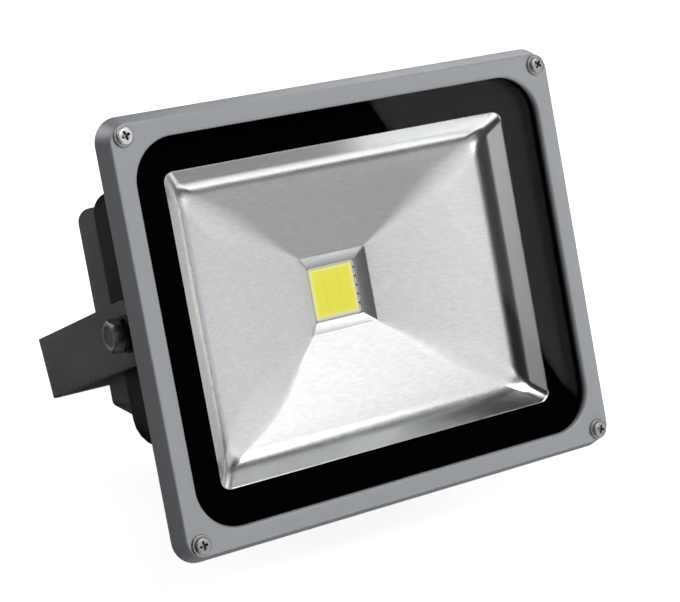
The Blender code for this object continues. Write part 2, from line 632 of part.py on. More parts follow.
def cable_gland(head):
    """The inlet: threaded body with a hexagon, inner nut, rubber insert and domed cap nut."""
    x, z = gland_place()
    at = (x, 0.0, z)
    seat = gland_seat()
    inner_face = COVER_BACK - COVER_WALL
    bore = 5.0 * MM
    sleeve = [(inner_face - 7 * MM, bore), (inner_face - 7 * MM, 7.9 * MM), (seat + 2 * MM, 7.9 * MM),
              (seat + 2 * MM, 7.6 * MM), (seat + 11 * MM, 7.6 * MM), (seat + 11 * MM, 6.4 * MM),
              (seat + 6 * MM, 6.4 * MM), (seat + 6 * MM, bore)]
    sleeve.append(sleeve[0])
    body = finish(ring_solid(sleeve, at, 32), "gland_body", "black_nylon", head)
    hexed = prism([(x + a, z + b) for a, b in hexagon(20 * MM, math.pi / 6)], seat, seat + 4.5 * MM, 'y')
    hexed = tool(hexed, "gland_hexagon", head)
    combine(body, hexed, 'UNION')
    clear = tool(rod(seat - 1 * MM, seat + 5.7 * MM, bore, 'y', at, 32), "gland_bore", head)
    combine(body, clear, 'DIFFERENCE')

    nut = finish(prism([(x + a, z + b) for a, b in hexagon(20 * MM)], inner_face - 5 * MM,
                       inner_face - FIT, 'y'), "gland_locknut", "black_nylon", head)
    combine(nut, tool(rod(inner_face - 8 * MM, inner_face + 2 * MM, 8.2 * MM, 'y', at, 32),
                      "locknut_bore", head), 'DIFFERENCE')

    start = seat + 4.5 * MM + FIT
    cap = [(start, 7.9 * MM), (start, 9.9 * MM), (start + 9 * MM, 9.9 * MM),
           (start + 12 * MM, 8.8 * MM), (start + 13.6 * MM, 6.8 * MM), (start + 14.0 * MM, 4.9 * MM),
           (start + 12.4 * MM, 4.9 * MM), (start + 11.2 * MM, 6.4 * MM),
           (start + 8.0 * MM, 7.9 * MM), (start, 7.9 * MM)]
    finish(ring_solid(cap, at, 32), "gland_cap_nut", "black_nylon", head)
    insert = [(seat + 6.3 * MM, 4.0 * MM), (seat + 6.3 * MM, 6.1 * MM), (seat + 14.6 * MM, 6.1 * MM),
              (seat + 15.6 * MM, 5.5 * MM), (seat + 15.6 * MM, 4.0 * MM), (seat + 6.3 * MM, 4.0 * MM)]
    finish(ring_solid(insert, at, 24), "gland_seal", "grey_silicone", head)


def ring_solid(profile, centre, segments):
    """A closed ring turned about y: the profile's last point repeats its first."""
    bm = turned(profile[:-1], 'y', centre, segments)
    caps = [f for f in bm.faces if len(f.verts) > 4]
    bmesh.ops.delete(bm, geom=caps, context='FACES_ONLY')
    edges = [e for e in bm.edges if e.is_boundary]
    bmesh.ops.bridge_loops(bm, edges=edges)
    return bm


def driver(head):
    """The potted driver in its extruded case, its end feet, and what joins it to the gland."""
    front = PLATE_BACK + FIT
    low, high = (-60 * MM, -20 * MM), (60 * MM, 36 * MM)
    case = [(outline(60 * MM - inset, low[1] + inset, high[1] - inset, 3 * MM, steps=3), y)
            for inset, y in ((0.0, front), (0.0, front + 29 * MM), (1.2 * MM, front + 30.2 * MM))]
    box = finish(chain(case, closed=False), "led_driver", "white_nylon", head)
    foot = block((-72 * MM, front, 0.0), (72 * MM, front + 2 * MM, 16 * MM))
    combine(box, tool(foot, "driver_feet", head), 'UNION')
    bores = [rod(front - MM, front + 4 * MM, 1.9 * MM, 'y', (x, 0, z), 12)
             for x, z in driver_screw_places()]
    combine(box, tool(merged(bores), "driver_feet_bores", head), 'DIFFERENCE')
    top = front + 2 * MM + FIT
    for side, (x, z) in zip(("left", "right"), driver_screw_places()):
        profile = [(PLATE_BACK - 3 * MM, 0.0), (PLATE_BACK - 3 * MM, 1.5 * MM), (top, 1.5 * MM),
                   (top, 2.8 * MM), (top + 1.6 * MM, 2.6 * MM), (top + 2 * MM, 1.8 * MM),
                   (top + 2 * MM, 0.0)]
        finish(turned(profile, 'y', (x, 0, z), 12), "driver_screw_" + side, "bright_steel", head)

    strip = block((64 * MM, front, 21 * MM), (82 * MM, front + 12 * MM, 37 * MM))
    strip = finish(strip, "terminal_block", "white_nylon", head)
    wells = [rod(front + 7 * MM, front + 14 * MM, 1.9 * MM, 'y', (x * MM, 0, z * MM), 12)
             for x in (68.5, 77.5) for z in (24.5, 29.0, 33.5)]
    combine(strip, tool(merged(wells), "terminal_wells", head), 'DIFFERENCE')

    profile = [(front, 0.0), (front, 3.2 * MM), (front + 2.2 * MM, 3.2 * MM),
               (front + 2.8 * MM, 2.2 * MM), (front + 2.8 * MM, 0.0)]
    finish(turned(profile, 'y', (-76 * MM, 0, 30 * MM), 12), "earth_screw", "bright_steel", head)


def lead(name, colour, points, radius, head):
    """A lead: a round tube along a smooth curve through a few chosen points."""
    places = np.array([Vector(p) for p in points])
    steps = 5
    route = []
    padded = np.vstack([2 * places[0] - places[1], places, 2 * places[-1] - places[-2]])
    for i in range(1, len(padded) - 2):
        p0, p1, p2, p3 = padded[i - 1:i + 3]
        for t in np.arange(steps) / steps:
            route.append(0.5 * (2 * p1 + (p2 - p0) * t + (2 * p0 - 5 * p1 + 4 * p2 - p3) * t * t
                                + (3 * p1 - p0 - 3 * p2 + p3) * t ** 3))
    route.append(places[-1])
    curve = bpy.data.curves.new(name, 'CURVE')
    curve.dimensions = '3D'
    curve.bevel_depth = radius
    curve.bevel_resolution = 1
    curve.use_fill_caps = True
    spline = curve.splines.new('POLY')
    spline.points.add(len(route) - 1)
    for point, place in zip(spline.points, route):
        point.co = (*place, 1.0)
    item = bpy.data.objects.new(name, curve)
    bpy.context.collection.objects.link(item)
    curve.materials.append(make_material(colour))
    item.parent = head
    item.location = head["shift"]


def led_leads(head):
    """The two leads from the light source's edge, through the plate and up to the driver."""
    x, _, z = lead_hole()
    start, hole = 24.4 * MM, 1.35 * MM
    for name, colour, side in (("led_lead_positive", "red_lead", 1), ("led_lead_negative", "black_lead", -1)):
        away = side * hole
        lead(name, colour, [
            (start, LIGHT_DEPTH + 1.5 * MM, z + away), (start + 4 * MM, LIGHT_DEPTH + 1.3 * MM, z + away),
            (x - 2.2 * MM, PLATE_FRONT - 2.4 * MM, z + away), (x, PLATE_FRONT + 0.8 * MM, z + away),
            (x, PLATE_BACK - 1.0 * MM, z + away)], 0.8 * MM, head)
    ring = [(PLATE_FRONT - 0.9 * MM, 3.2 * MM), (PLATE_FRONT - 0.9 * MM, 5.4 * MM),
            (PLATE_FRONT - FIT, 5.4 * MM), (PLATE_FRONT - FIT, 4.1 * MM),
            (PLATE_BACK - 0.4 * MM, 4.1 * MM), (PLATE_BACK - 0.4 * MM, 3.2 * MM),
            (PLATE_FRONT - 0.9 * MM, 3.2 * MM)]
    finish(ring_solid(ring, lead_hole(), 20), "lead_grommet", "grey_silicone", head)


def bracket(arm):
    """The folded strap: a U in plan, cut to a strap with round ends, then drilled."""
    outer, inner = LEG_OUTSIDE, LEG_OUTSIDE - STRAP_THICKNESS
    base = LEG_LENGTH
    bends = 6

    def bend(radius, corner_x, corner_y, mirrored):
        arc = []
        for i in range(bends + 1):
            a = math.pi / 2 * i / bends
            arc.append((corner_x - radius + radius * math.cos(a), corner_y - radius + radius * math.sin(a)))
        if mirrored:
            arc = [(-x, y) for x, y in reversed(arc)]
        return arc

    reach = -STRAP_WIDTH / 2 - 2 * MM
    plan = [(outer, reach)] + bend(BEND_RADIUS, outer, base, False)
    plan += bend(BEND_RADIUS, outer, base, True) + [(-outer, reach), (-inner, reach)]
    inside = BEND_RADIUS - STRAP_THICKNESS
    plan += list(reversed(bend(inside, inner, base - STRAP_THICKNESS, True)))
    plan += list(reversed(bend(inside, inner, base - STRAP_THICKNESS, False))) + [(inner, reach)]
    half = STRAP_WIDTH / 2
    strap = finish(prism(plan, -half - 2 * MM, half + 2 * MM, 'z'), "mounting_bracket",
                   "bracket_paint", arm)

    round_end = [(half * math.cos(a), half * math.sin(a))
                 for a in np.linspace(1.5 * math.pi, 0.5 * math.pi, 21)]
    eased = 1.2 * MM
    square_end = [(base + 2 * MM, half - eased), (base + 2 * MM, -half + eased)]
    side_view = round_end + [(base - eased, half)] + [(base, half - eased)] + square_end
    side_view += [(base, -half + eased), (base - eased, -half)]
    cutter = tool(prism(side_view, -outer - 4 * MM, outer + 4 * MM, 'x'), "strap_outline", arm)
    combine(strap, cutter, 'INTERSECT')

    holes = [rod(-outer - 4 * MM, outer + 4 * MM, BOLT_RADIUS + 0.4 * MM, 'x', (0, 0, 0), 28)]
    holes.append(rod(base - 8 * MM, base + 4 * MM, 4.5 * MM, 'y', (0, 0, 0), 28))
    for side in (-1, 1):
        slot = corner_arc((side * 62 * MM + 6 * MM, 0), 3.5 * MM, -math.pi / 2, 4)
        slot += corner_arc((side * 62 * MM + 6 * MM, 0), 3.5 * MM, 0.0, 4)[1:]
        slot += corner_arc((side * 62 * MM - 6 * MM, 0), 3.5 * MM, math.pi / 2, 4)
        slot += corner_arc((side * 62 * MM - 6 * MM, 0), 3.5 * MM, math.pi, 4)[1:]
        holes.append(prism(slot, base - 8 * MM, base + 4 * MM, 'y'))
    combine(strap, tool(merged(holes), "bracket_holes", arm), 'DIFFERENCE')


def mirrored_x(profile, side):
    return [(side * along, radius) for along, radius in profile]


def pivots(head, arm):
    """On each side, from the head out: lock washer, leg, plain washer, spring washer, bolt."""
    at_head = (0.0, PIVOT_Y, PIVOT_Z)
    for side, name in ((-1, "left"), (1, "right")):
        lock = [(99.85 * MM, 4.4 * MM), (99.85 * MM, 9.0 * MM), (100.75 * MM, 9.0 * MM), (100.75 * MM, 4.4 * MM)]
        washer_ring(mirrored_x(lock, side), at_head, "lock_washer_" + name, head)
        plain = [(104.25 * MM, 4.4 * MM), (104.25 * MM, 8.0 * MM), (105.45 * MM, 8.0 * MM), (105.45 * MM, 4.4 * MM)]
        washer_ring(mirrored_x(plain, side), (0, 0, 0), "plain_washer_" + name, arm)
        spring_washer(side, at_head, "spring_washer_" + name, head)
        pivot_bolt(side, at_head, "pivot_bolt_" + name, head)


def washer_ring(profile, centre, name, carrier):
    bm = bmesh.new()
    segments = 24
    rings = []
    for along, radius in profile:
        rings.append([bm.verts.new(Vector((along, radius * math.cos(a), radius * math.sin(a))) + Vector(centre))
                      for a in (2 * math.pi * i / segments for i in range(segments))])
    for first, second in zip(rings, rings[1:] + rings[:1]):
        bridge(bm, first, second)
    finish(bm, name, "bright_steel", carrier)


def spring_washer(side, centre, name, carrier):
    """A split ring of square section, with a narrow slanting gap."""
    low, high = 105.7 * MM, 107.3 * MM
    inner, outer = 4.4 * MM, 7.2 * MM
    count = 26
    gap = math.radians(9)
    bm = bmesh.new()
    rows = []
    for i in range(count + 1):
        a = gap + (2 * math.pi - 2 * gap) * i / count
        row = []
        for along, radius, lean in ((low, inner, -1), (low, outer, -1), (high, outer, 1), (high, inner, 1)):
            b = a + lean * gap * 0.45
            place = Vector((side * along, radius * math.cos(b), radius * math.sin(b)))
            row.append(bm.verts.new(place + Vector(centre)))
        rows.append(row)
    for first, second in zip(rows, rows[1:]):
        bridge(bm, first, second)
    bm.faces.new(rows[0])
    bm.faces.new(rows[-1])
    finish(bm, name, "bright_steel", carrier)


def pivot_bolt(side, centre, name, carrier):
    """A hexagon bolt: chamfered head with a shallow dish, and a plain shank into the boss."""
    low, high = 107.55 * MM, 112.4 * MM
    shank = [(88.0 * MM, 0.0), (88.0 * MM, BOLT_RADIUS - 0.7 * MM), (88.8 * MM, BOLT_RADIUS),
             (low + 0.5 * MM, BOLT_RADIUS), (low + 0.5 * MM, 0.0)]
    bolt = finish(turned(mirrored_x(shank, side), 'x', centre, 24), name, "dull_steel", carrier)
    _, y, z = centre
    ends = sorted((side * low, side * high))
    head_prism = prism([(y + a, z + b) for a, b in hexagon(13 * MM, math.radians(12))], *ends, 'x')
    hexed = tool(head_prism, name + "_hexagon", carrier)
    chamfer = [(low, 0.0), (low, 7.1 * MM), (low + 0.3 * MM, 7.6 * MM), (high - 0.9 * MM, 7.6 * MM),
               (high, 6.3 * MM), (high, 4.6 * MM), (high - 0.5 * MM, 4.2 * MM), (high - 0.5 * MM, 0.0)]
    cone = tool(turned(mirrored_x(chamfer, side), 'x', centre, 36), name + "_chamfer", carrier)
    combine(hexed, cone, 'INTERSECT')
    combine(bolt, hexed, 'UNION')


def resting_place():
    """Tilt and height at rest: the frame's lower edge and the bracket's corner share a floor.

    Both points are in the head's frame. The bracket's is the lower corner of its base."""
    along = (math.cos(LEG_SLOPE), -math.sin(LEG_SLOPE))
    across = (math.sin(LEG_SLOPE), math.cos(LEG_SLOPE))
    edge = (FRAME_DEPTH - 0.5 * MM, -FRAME_HEIGHT / 2)
    far, half = LEG_LENGTH, STRAP_WIDTH / 2
    eased = 1.2 * MM
    candidates = [(far - eased, -half), (far, -half + eased)]
    best = None
    for a, c in candidates:
        corner = (PIVOT_Y + a * along[0] + c * across[0], PIVOT_Z + a * along[1] + c * across[1])
        lean = math.atan2(corner[1] - edge[1], corner[0] - edge[0])
        best = lean if best is None else min(best, lean)
    lowest = edge[0] * math.sin(best) - edge[1] * math.cos(best)
    return best, lowest


def build():
    clear_scene()
    lean, drop = resting_place()
    turn = Matrix.Rotation(-lean, 3, 'X')
    reach_front = turn @ Vector((0.0, 0.5 * MM - FRAME_SCREW_HEAD, -FRAME_SCREW_Z - 3.0 * MM))
    leg_end = turn @ (Vector((0.0, PIVOT_Y, PIVOT_Z)) + Matrix.Rotation(-LEG_SLOPE, 3, 'X')
                      @ Vector((0.0, LEG_LENGTH, STRAP_WIDTH / 2 - 1.2 * MM)))
    middle = (reach_front.y + leg_end.y) / 2
    pivot = turn @ Vector((0.0, PIVOT_Y, PIVOT_Z)) + Vector((0.0, -middle, drop))
    head = empty("head_pivot", pivot, -lean)
    head["shift"] = (0.0, -PIVOT_Y, -PIVOT_Z)
    arm = empty("bracket_pivot", pivot, -lean - LEG_SLOPE)
    arm["shift"] = (0.0, 0.0, 0.0)

    front_frame(head)
    glass(head)
    glass_gasket(head)
    reflector(head)
    led_screws = light_source(head)
    heatsink_body(head, led_screws)
    frame_screws(head)
    driver_cover(head)
    cable_gland(head)
    driver(head)
    led_leads(head)
    bracket(arm)
    pivots(head, arm)
    print("pivot", [round(v, 5) for v in pivot], "lean", round(math.degrees(lean), 3))


build()
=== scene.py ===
"""Looks of the LED work light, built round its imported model.

Its shapes are worked out in millimetres in two frames of their own. The head frame has its origin
at the centre of the front face, x to the right, y to the back and z up along the face. The arm
frame has its origin on the pivot line, with y along the bracket's legs towards its base.
"""
import json
import math

import bmesh
import bpy
import numpy as np
from mathutils import Matrix, Vector
from mathutils.geometry import delaunay_2d_cdt


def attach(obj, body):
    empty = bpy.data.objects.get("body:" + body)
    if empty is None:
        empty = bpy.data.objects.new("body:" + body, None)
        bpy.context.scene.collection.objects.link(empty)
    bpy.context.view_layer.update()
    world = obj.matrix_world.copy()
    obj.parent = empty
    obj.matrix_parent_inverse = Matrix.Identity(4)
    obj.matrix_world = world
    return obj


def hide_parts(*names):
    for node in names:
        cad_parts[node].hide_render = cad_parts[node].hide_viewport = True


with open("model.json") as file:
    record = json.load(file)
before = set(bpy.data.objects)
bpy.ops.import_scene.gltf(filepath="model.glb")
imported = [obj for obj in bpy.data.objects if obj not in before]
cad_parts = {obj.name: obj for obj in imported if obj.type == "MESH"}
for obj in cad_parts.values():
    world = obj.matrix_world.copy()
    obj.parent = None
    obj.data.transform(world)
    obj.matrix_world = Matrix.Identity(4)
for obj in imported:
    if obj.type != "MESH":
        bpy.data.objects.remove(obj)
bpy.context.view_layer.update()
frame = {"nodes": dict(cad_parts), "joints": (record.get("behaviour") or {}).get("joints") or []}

MM = 0.001
TAU = 2.0 * math.pi
LEAN = math.radians(28.861)
LEG_SLOPE = math.radians(9.4)
PIVOT = np.array(frame["joints"][0]["pos_m"])
PIVOT_IN_HEAD = np.array([0.0, 31.0, 4.0])
SIDES = {"left": -1, "right": 1}

# Half widths and half heights of the frame, the clear window and the body's front chamber, and
# how far the LED sits above the middle
FRAME = np.array([112.5, 92.5])
WINDOW = np.array([85.3, 66.6])
CHAMBER = np.array([95.2, 74.0])
LED_RISE = 1.6

# Places in x and z
FRAME_SCREWS = {"top_left": (-103.0, 84.0), "top_right": (103.0, 84.0),
                "bottom_left": (-103.0, -84.0), "bottom_right": (103.0, -84.0)}
COVER_SCREWS = {"top_left": (-82.0, 45.5), "top_right": (82.0, 45.5),
                "bottom_left": (-76.0, -28.0), "bottom_right": (76.0, -28.0)}

# The cable gland's axis
GLAND = (0.0, 0.0, -18.0)

# Depths
GLASS_BACK = 7.7
BODY_FRONT, BODY_WAIST, BODY_REAR = 13.5, 40.0, 57.5
COVER_BACK = 87.6


def turn_x(angle):
    """The matrix that turns a point by angle about x."""
    c, s = math.cos(angle), math.sin(angle)
    return np.array([[1.0, 0.0, 0.0], [0.0, c, -s], [0.0, s, c]])


HEAD_TURN = turn_x(-LEAN)
ARM_TURN = turn_x(-LEAN - LEG_SLOPE)


def from_head(points):
    """Head frame in millimetres to the object's frame in metres."""
    return (np.asarray(points, float) - PIVOT_IN_HEAD) @ HEAD_TURN.T * MM + PIVOT


def from_arm(points):
    """Arm frame in millimetres to the object's frame in metres."""
    return np.asarray(points, float) @ ARM_TURN.T * MM + PIVOT


# Shapes

def quads(rows, places, ring=False, start=0):
    """Faces of a grid whose rows are loops: each point with the next one in its row, and the same
    two in the row below. ring joins the last row to the first."""
    i, j = np.meshgrid(np.arange(rows if ring else rows - 1), np.arange(places), indexing="ij")
    below, beside = (i + 1) % rows, (j + 1) % places
    corners = [i * places + j, i * places + beside, below * places + beside, below * places + j]
    return (np.stack(corners, -1).reshape(-1, 4) + start).tolist()


class Shells:
    """Closed shells of points and faces that together make one piece."""

    def __init__(self):
        self.points, self.faces, self.tones, self.count = [], [], [], 0

    def add(self, points, faces, tone=0.0):
        """Points and faces, with a tone from 0 to 1 for each point that a finish can read."""
        points = np.asarray(points, float).reshape(-1, 3)
        self.points.append(points)
        self.tones.append(np.broadcast_to(tone, len(points)))
        self.faces += [[v + self.count for v in face] for face in faces]
        self.count += len(points)
        return self

    def rows(self, grid, ring=False, tone=0.0):
        """A skin over grid[row, place, xyz]. Each row is a loop. ring joins the last row to the
        first, and otherwise a flat face closes each end. tone may be given per row."""
        m, n = grid.shape[:2]
        faces = quads(m, n, ring)
        if not ring:
            faces += [list(range(n)), list(range((m - 1) * n, m * n))]
        return self.add(grid, faces, np.repeat(np.broadcast_to(tone, m), n))


def piece(name, shells, body, finish, replaces=(), sharp=35.0):
    """Puts the shells, given in their body's own frame, into a mesh object, with every shell
    facing outwards. Edges bent more than sharp degrees stay crisp."""
    mesh = bpy.data.meshes.new(name)
    place = from_head if body == "head" else from_arm
    points = place(np.concatenate(shells.points))
    mesh.from_pydata(points.tolist(), [], shells.faces)
    tones = np.concatenate(shells.tones)
    if tones.any():
        mesh.attributes.new("tone", "FLOAT", "POINT").data.foreach_set("value", tones)
    build = bmesh.new()
    build.from_mesh(mesh)
    bmesh.ops.remove_doubles(build, verts=build.verts[:], dist=1e-7)
    bmesh.ops.dissolve_degenerate(build, edges=build.edges[:], dist=1e-7)
    bmesh.ops.recalc_face_normals(build, faces=build.faces[:])
    build.to_mesh(mesh)
    build.free()
    mesh.shade_smooth()
    mesh.set_sharp_from_angle(angle=math.radians(sharp))
    item = bpy.data.objects.new(name, mesh)
    bpy.context.scene.collection.objects.link(item)
    mesh.materials.append(finish)
    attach(item, body)
    if replaces:
        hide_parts(*([replaces] if isinstance(replaces, str) else replaces))
    return item


def filleted(points, radii, steps=6, closed=False):
    """A polyline whose corners are replaced by arcs of the given radii, each tangent to both
    neighbouring edges. Every corner gives steps + 1 points, so sections stay matched."""
    points = np.asarray(points, float)
    count, out = len(points), []
    for k in range(count):
        if not closed and k in (0, count - 1):
            out.append(points[k])
            continue
        corner = points[k]
        a = points[k - 1] - corner
        b = points[(k + 1) % count] - corner
        a, b = a / np.linalg.norm(a), b / np.linalg.norm(b)
        half = math.acos(max(-1.0, min(1.0, float(a @ b)))) / 2.0
        radius = radii[k]
        if radius <= 0.0 or abs(math.sin(half)) < 1e-6 or abs(math.cos(half)) < 1e-6:
            out += [corner] * (steps + 1)
            continue
        bisector = (a + b) / np.linalg.norm(a + b)
        centre = corner + bisector * radius / math.sin(half)
        start = corner + a * radius / math.tan(half) - centre
        end = corner + b * radius / math.tan(half) - centre
        sweep = math.atan2(start[0] * end[1] - start[1] * end[0], float(start @ end))
        angle = np.linspace(0.0, sweep, steps + 1)
        arc = np.outer(np.cos(angle), start) + np.outer(np.sin(angle), [-start[1], start[0]])
        out += list(centre + arc)
    return np.array(out)


def round_rect(half_w, half_h, radius, rise=0.0, corner=12):
    """A rounded rectangle's loop in x and z: four quarter arcs, one about each corner's centre."""
    quarter = np.linspace(0.0, math.pi / 2, corner + 1)
    loops = []
    for k, (sx, sz) in enumerate(((1, 1), (-1, 1), (-1, -1), (1, -1))):
        a = quarter + k * math.pi / 2
        centre = np.array([sx * (half_w - radius), sz * (half_h - radius) + rise])
        loops.append(centre + radius * np.stack([np.cos(a), np.sin(a)], -1))
    return np.concatenate(loops)


def at_depth(loop, y):
    """A loop in x and z set at depth y."""
    loop = np.asarray(loop)
    return np.stack([loop[:, 0], np.full(len(loop), float(y)), loop[:, 1]], -1)


def around(count):
    """Evenly spaced angles of a full turn."""
    return np.arange(count) / count * TAU


def circle(centre, radius, count=48):
    """A circle's loop in x and z."""
    a = around(count)
    return np.asarray(centre, float) + radius * np.stack([np.cos(a), np.sin(a)], -1)


def lathe(profile, centre, axis="y", segments=64, side=1):
    """Rows of a surface carried round an axis: each (along, radius) pair gives one loop, and
    either may have a value of its own for each angle. A side of -1 mirrors it along the axis."""
    angle = around(segments)
    along = side * np.array([np.broadcast_to(a, segments) for a, _ in profile], float)
    radius = np.array([np.broadcast_to(r, segments) for _, r in profile], float)
    u, v = radius * np.cos(angle), radius * np.sin(angle)
    grid = np.stack([along, u, v] if axis == "x" else [u, along, v], -1)
    return grid + np.asarray(centre, float)


# Finishes

def material(name, base, roughness, metallic=0.0, **sockets):
    """A named material with its Principled shader's plain values set."""
    finish = bpy.data.materials.new(name)
    finish.use_nodes = True
    shader = finish.node_tree.nodes["Principled BSDF"]
    shader.inputs["Base Color"].default_value = (*base, 1.0)
    shader.inputs["Roughness"].default_value = roughness
    shader.inputs["Metallic"].default_value = metallic
    for key, value in sockets.items():
        shader.inputs[key.replace("_", " ")].default_value = value
    return finish, finish.node_tree, shader


def add(tree, kind, **values):
    """A node of a kind, with its properties and named inputs set."""
    node = tree.nodes.new("ShaderNode" + kind)
    for key, value in values.items():
        if hasattr(node, key):
            setattr(node, key, value)
        else:
            node.inputs[key.replace("_", " ")].default_value = value
    return node


def noise(tree, scale, detail=3.0, roughness=0.55, stretch=(1.0, 1.0, 1.0)):
    """Noise on Object coordinates, stretched by a Mapping. scale is per metre."""
    coords = add(tree, "TexCoord")
    mapping = add(tree, "Mapping")
    mapping.inputs["Scale"].default_value = stretch
    texture = add(tree, "TexNoise", Scale=scale, Detail=detail, Roughness=roughness)
    tree.links.new(coords.outputs["Object"], mapping.inputs["Vector"])
    tree.links.new(mapping.outputs["Vector"], texture.inputs["Vector"])
    return texture.outputs["Fac"]


def ramp(tree, factor, stops):
    """A colour ramp through (position, colour) stops."""
    node = add(tree, "ValToRGB")
    elements = node.color_ramp.elements
    while len(elements) < len(stops):
        elements.new(0.5)
    for element, (position, colour) in zip(elements, stops):
        element.position = position
        element.color = (*colour, 1.0)
    tree.links.new(factor, node.inputs["Fac"])
    return node.outputs["Color"]


def spread(tree, factor, low, high, start=0.3, end=0.7):
    """Maps a factor from start..end to low..high."""
    node = add(tree, "MapRange")
    for key, value in (("From Min", start), ("From Max", end), ("To Min", low), ("To Max", high)):
        node.inputs[key].default_value = value
    tree.links.new(factor, node.inputs["Value"])
    return node.outputs["Result"]


def piece_tone(tree):
    """The tone that the piece's points carry, from 0 to 1."""
    return add(tree, "Attribute", attribute_name="tone").outputs["Fac"]


def blended(tree, share, colour, other):
    """A colour that goes over to another, plain one as share rises from 0 to 1."""
    blend = add(tree, "MixRGB")
    blend.inputs["Color2"].default_value = (*other, 1.0)
    tree.links.new(share, blend.inputs["Fac"])
    tree.links.new(colour, blend.inputs["Color1"])
    return blend.outputs["Color"]


def bump(tree, shader, height, strength, distance):
    """Fine relief from a height, up to distance in metres."""
    node = add(tree, "Bump", Strength=strength, Distance=distance)
    tree.links.new(height, node.inputs["Height"])
    tree.links.new(node.outputs["Normal"], shader.inputs["Normal"])


def paint(name, colour, dark, roughness, metallic=0.0, **sockets):
    """Sprayed paint: fine grain in colour and bump, and broad drifts in its gloss."""
    finish, tree, shader = material(name, colour, roughness, metallic, **sockets)
    fine = noise(tree, 2600.0, 2.0)
    tree.links.new(ramp(tree, fine, [(0.32, dark), (0.68, colour)]), shader.inputs["Base Color"])
    gloss = spread(tree, noise(tree, 38.0, 4.0), roughness - 0.05, roughness + 0.05)
    tree.links.new(gloss, shader.inputs["Roughness"])
    bump(tree, shader, fine, 0.25, 0.00002)
    return finish


def bare_metal(name, colour, dark, roughness):
    """Bare metal: an even grain in colour, gloss and bump."""
    finish, tree, shader = material(name, colour, roughness, 1.0)
    grain = noise(tree, 900.0, 4.0, 0.6)
    tree.links.new(ramp(tree, grain, [(0.3, dark), (0.7, colour)]), shader.inputs["Base Color"])
    gloss = spread(tree, grain, roughness + 0.06, roughness - 0.04)
    tree.links.new(gloss, shader.inputs["Roughness"])
    bump(tree, shader, grain, 0.15, 0.00001)
    return finish


def soft(name, colour, dark, roughness, **sockets):
    """Moulded rubber or plastic: a faint mottle and a fine even texture."""
    finish, tree, shader = material(name, colour, roughness, 0.0, **sockets)
    mottle = noise(tree, 125.0, 3.0)
    tree.links.new(ramp(tree, mottle, [(0.3, dark), (0.7, colour)]), shader.inputs["Base Color"])
    grain = noise(tree, 1500.0, 2.0)
    gloss = spread(tree, grain, roughness - 0.04, roughness + 0.06)
    tree.links.new(gloss, shader.inputs["Roughness"])
    bump(tree, shader, grain, 0.2, 0.00002)
    return finish


def dotted_silicone(name, cream, dark):
    """Cream silicone with a faint mottle, and dark where the tone attribute is 1."""
    finish, tree, shader = material(name, cream, 0.45)
    mottle = ramp(tree, noise(tree, 900.0), [(0.3, tuple(0.93 * c for c in cream)), (0.7, cream)])
    tree.links.new(blended(tree, piece_tone(tree), mottle, dark), shader.inputs["Base Color"])
    return finish


def striped_gel(name, yellow, dark, line, pale):
    """Phosphor gel: a fine mottle, two faint darker lines up it, where its strips meet, and a paler
    edge, where the tone attribute is high. A faint painted glow brightens it, though the LED is not
    lit."""
    half_width = 0.01115
    # Painted glow: the faint yellow emission brightens the unlit gel.
    finish, tree, shader = material(name, yellow, 0.5, Emission_Color=(1.0, 0.95, 0.08, 1.0),
                                    Emission_Strength=0.28)
    mottle = ramp(tree, noise(tree, 1600.0, 2.0), [(0.3, dark), (0.7, yellow)])
    coords = add(tree, "TexCoord")
    parts = add(tree, "SeparateXYZ")
    tree.links.new(coords.outputs["Object"], parts.inputs["Vector"])
    across = spread(tree, parts.outputs["X"], 0.0, 1.0, -half_width, half_width)
    stops = [(0.285, (0, 0, 0)), (0.30, (1, 1, 1)), (0.315, (0, 0, 0)),
             (0.625, (0, 0, 0)), (0.64, (1, 1, 1)), (0.655, (0, 0, 0))]
    striped = blended(tree, ramp(tree, across, stops), mottle, line)
    tree.links.new(blended(tree, piece_tone(tree), striped, pale), shader.inputs["Base Color"])
    return finish


def toned_metal(name, light, dark, rough_light, rough_dark, streak, scale, stretch=(1.0, 1.0, 1.0),
                strength=0.05):
    """Metal whose colour and gloss follow the piece's tone attribute: light at 0, dark at 1. A
    streaky grain adds to both where the tone is low."""
    finish, tree, shader = material(name, light, rough_light, 1.0)
    share = piece_tone(tree)
    grain = noise(tree, scale, 4.0, 0.6, stretch)
    streaks = ramp(tree, grain, [(0.3, tuple(c * (1.0 - streak) for c in light)), (0.7, light)])
    tree.links.new(blended(tree, share, streaks, dark), shader.inputs["Base Color"])
    gloss = spread(tree, share, rough_light, rough_dark, 0.0, 1.0)
    tree.links.new(gloss, shader.inputs["Roughness"])
    bump(tree, shader, grain, strength, 0.00001)
    return finish


FRAME_PAINT = paint("frame grey paint", (0.465, 0.482, 0.51), (0.42, 0.435, 0.462), 0.42,
                    metallic=0.25)
BODY_PAINT = paint("body black paint", (0.015, 0.0145, 0.017), (0.011, 0.0105, 0.012), 0.5,
                   Specular_IOR_Level=0.12)
COVER_PAINT = paint("cover charcoal paint", (0.125, 0.121, 0.128), (0.108, 0.105, 0.111), 0.45)
STRAP_PAINT = paint("bracket black paint", (0.130, 0.124, 0.140), (0.113, 0.108, 0.121), 0.45)
BRIGHT_STEEL = bare_metal("bright zinc plate", (0.70, 0.70, 0.71), (0.58, 0.58, 0.60), 0.22)
# Its dark end, reached as the tone rises to 1, is painted shade in the screws' recesses, under
# their heads and on their washers.
SCREW_STEEL = toned_metal("zinc plated screw", (0.95, 0.95, 0.94), (0.012, 0.012, 0.012),
                          0.55, 0.35, 0.12, 900.0)
BOLT_STEEL = toned_metal("dull zinc bolt", (0.26, 0.253, 0.24), (0.42, 0.41, 0.395),
                         0.55, 0.5, 0.2, 700.0)
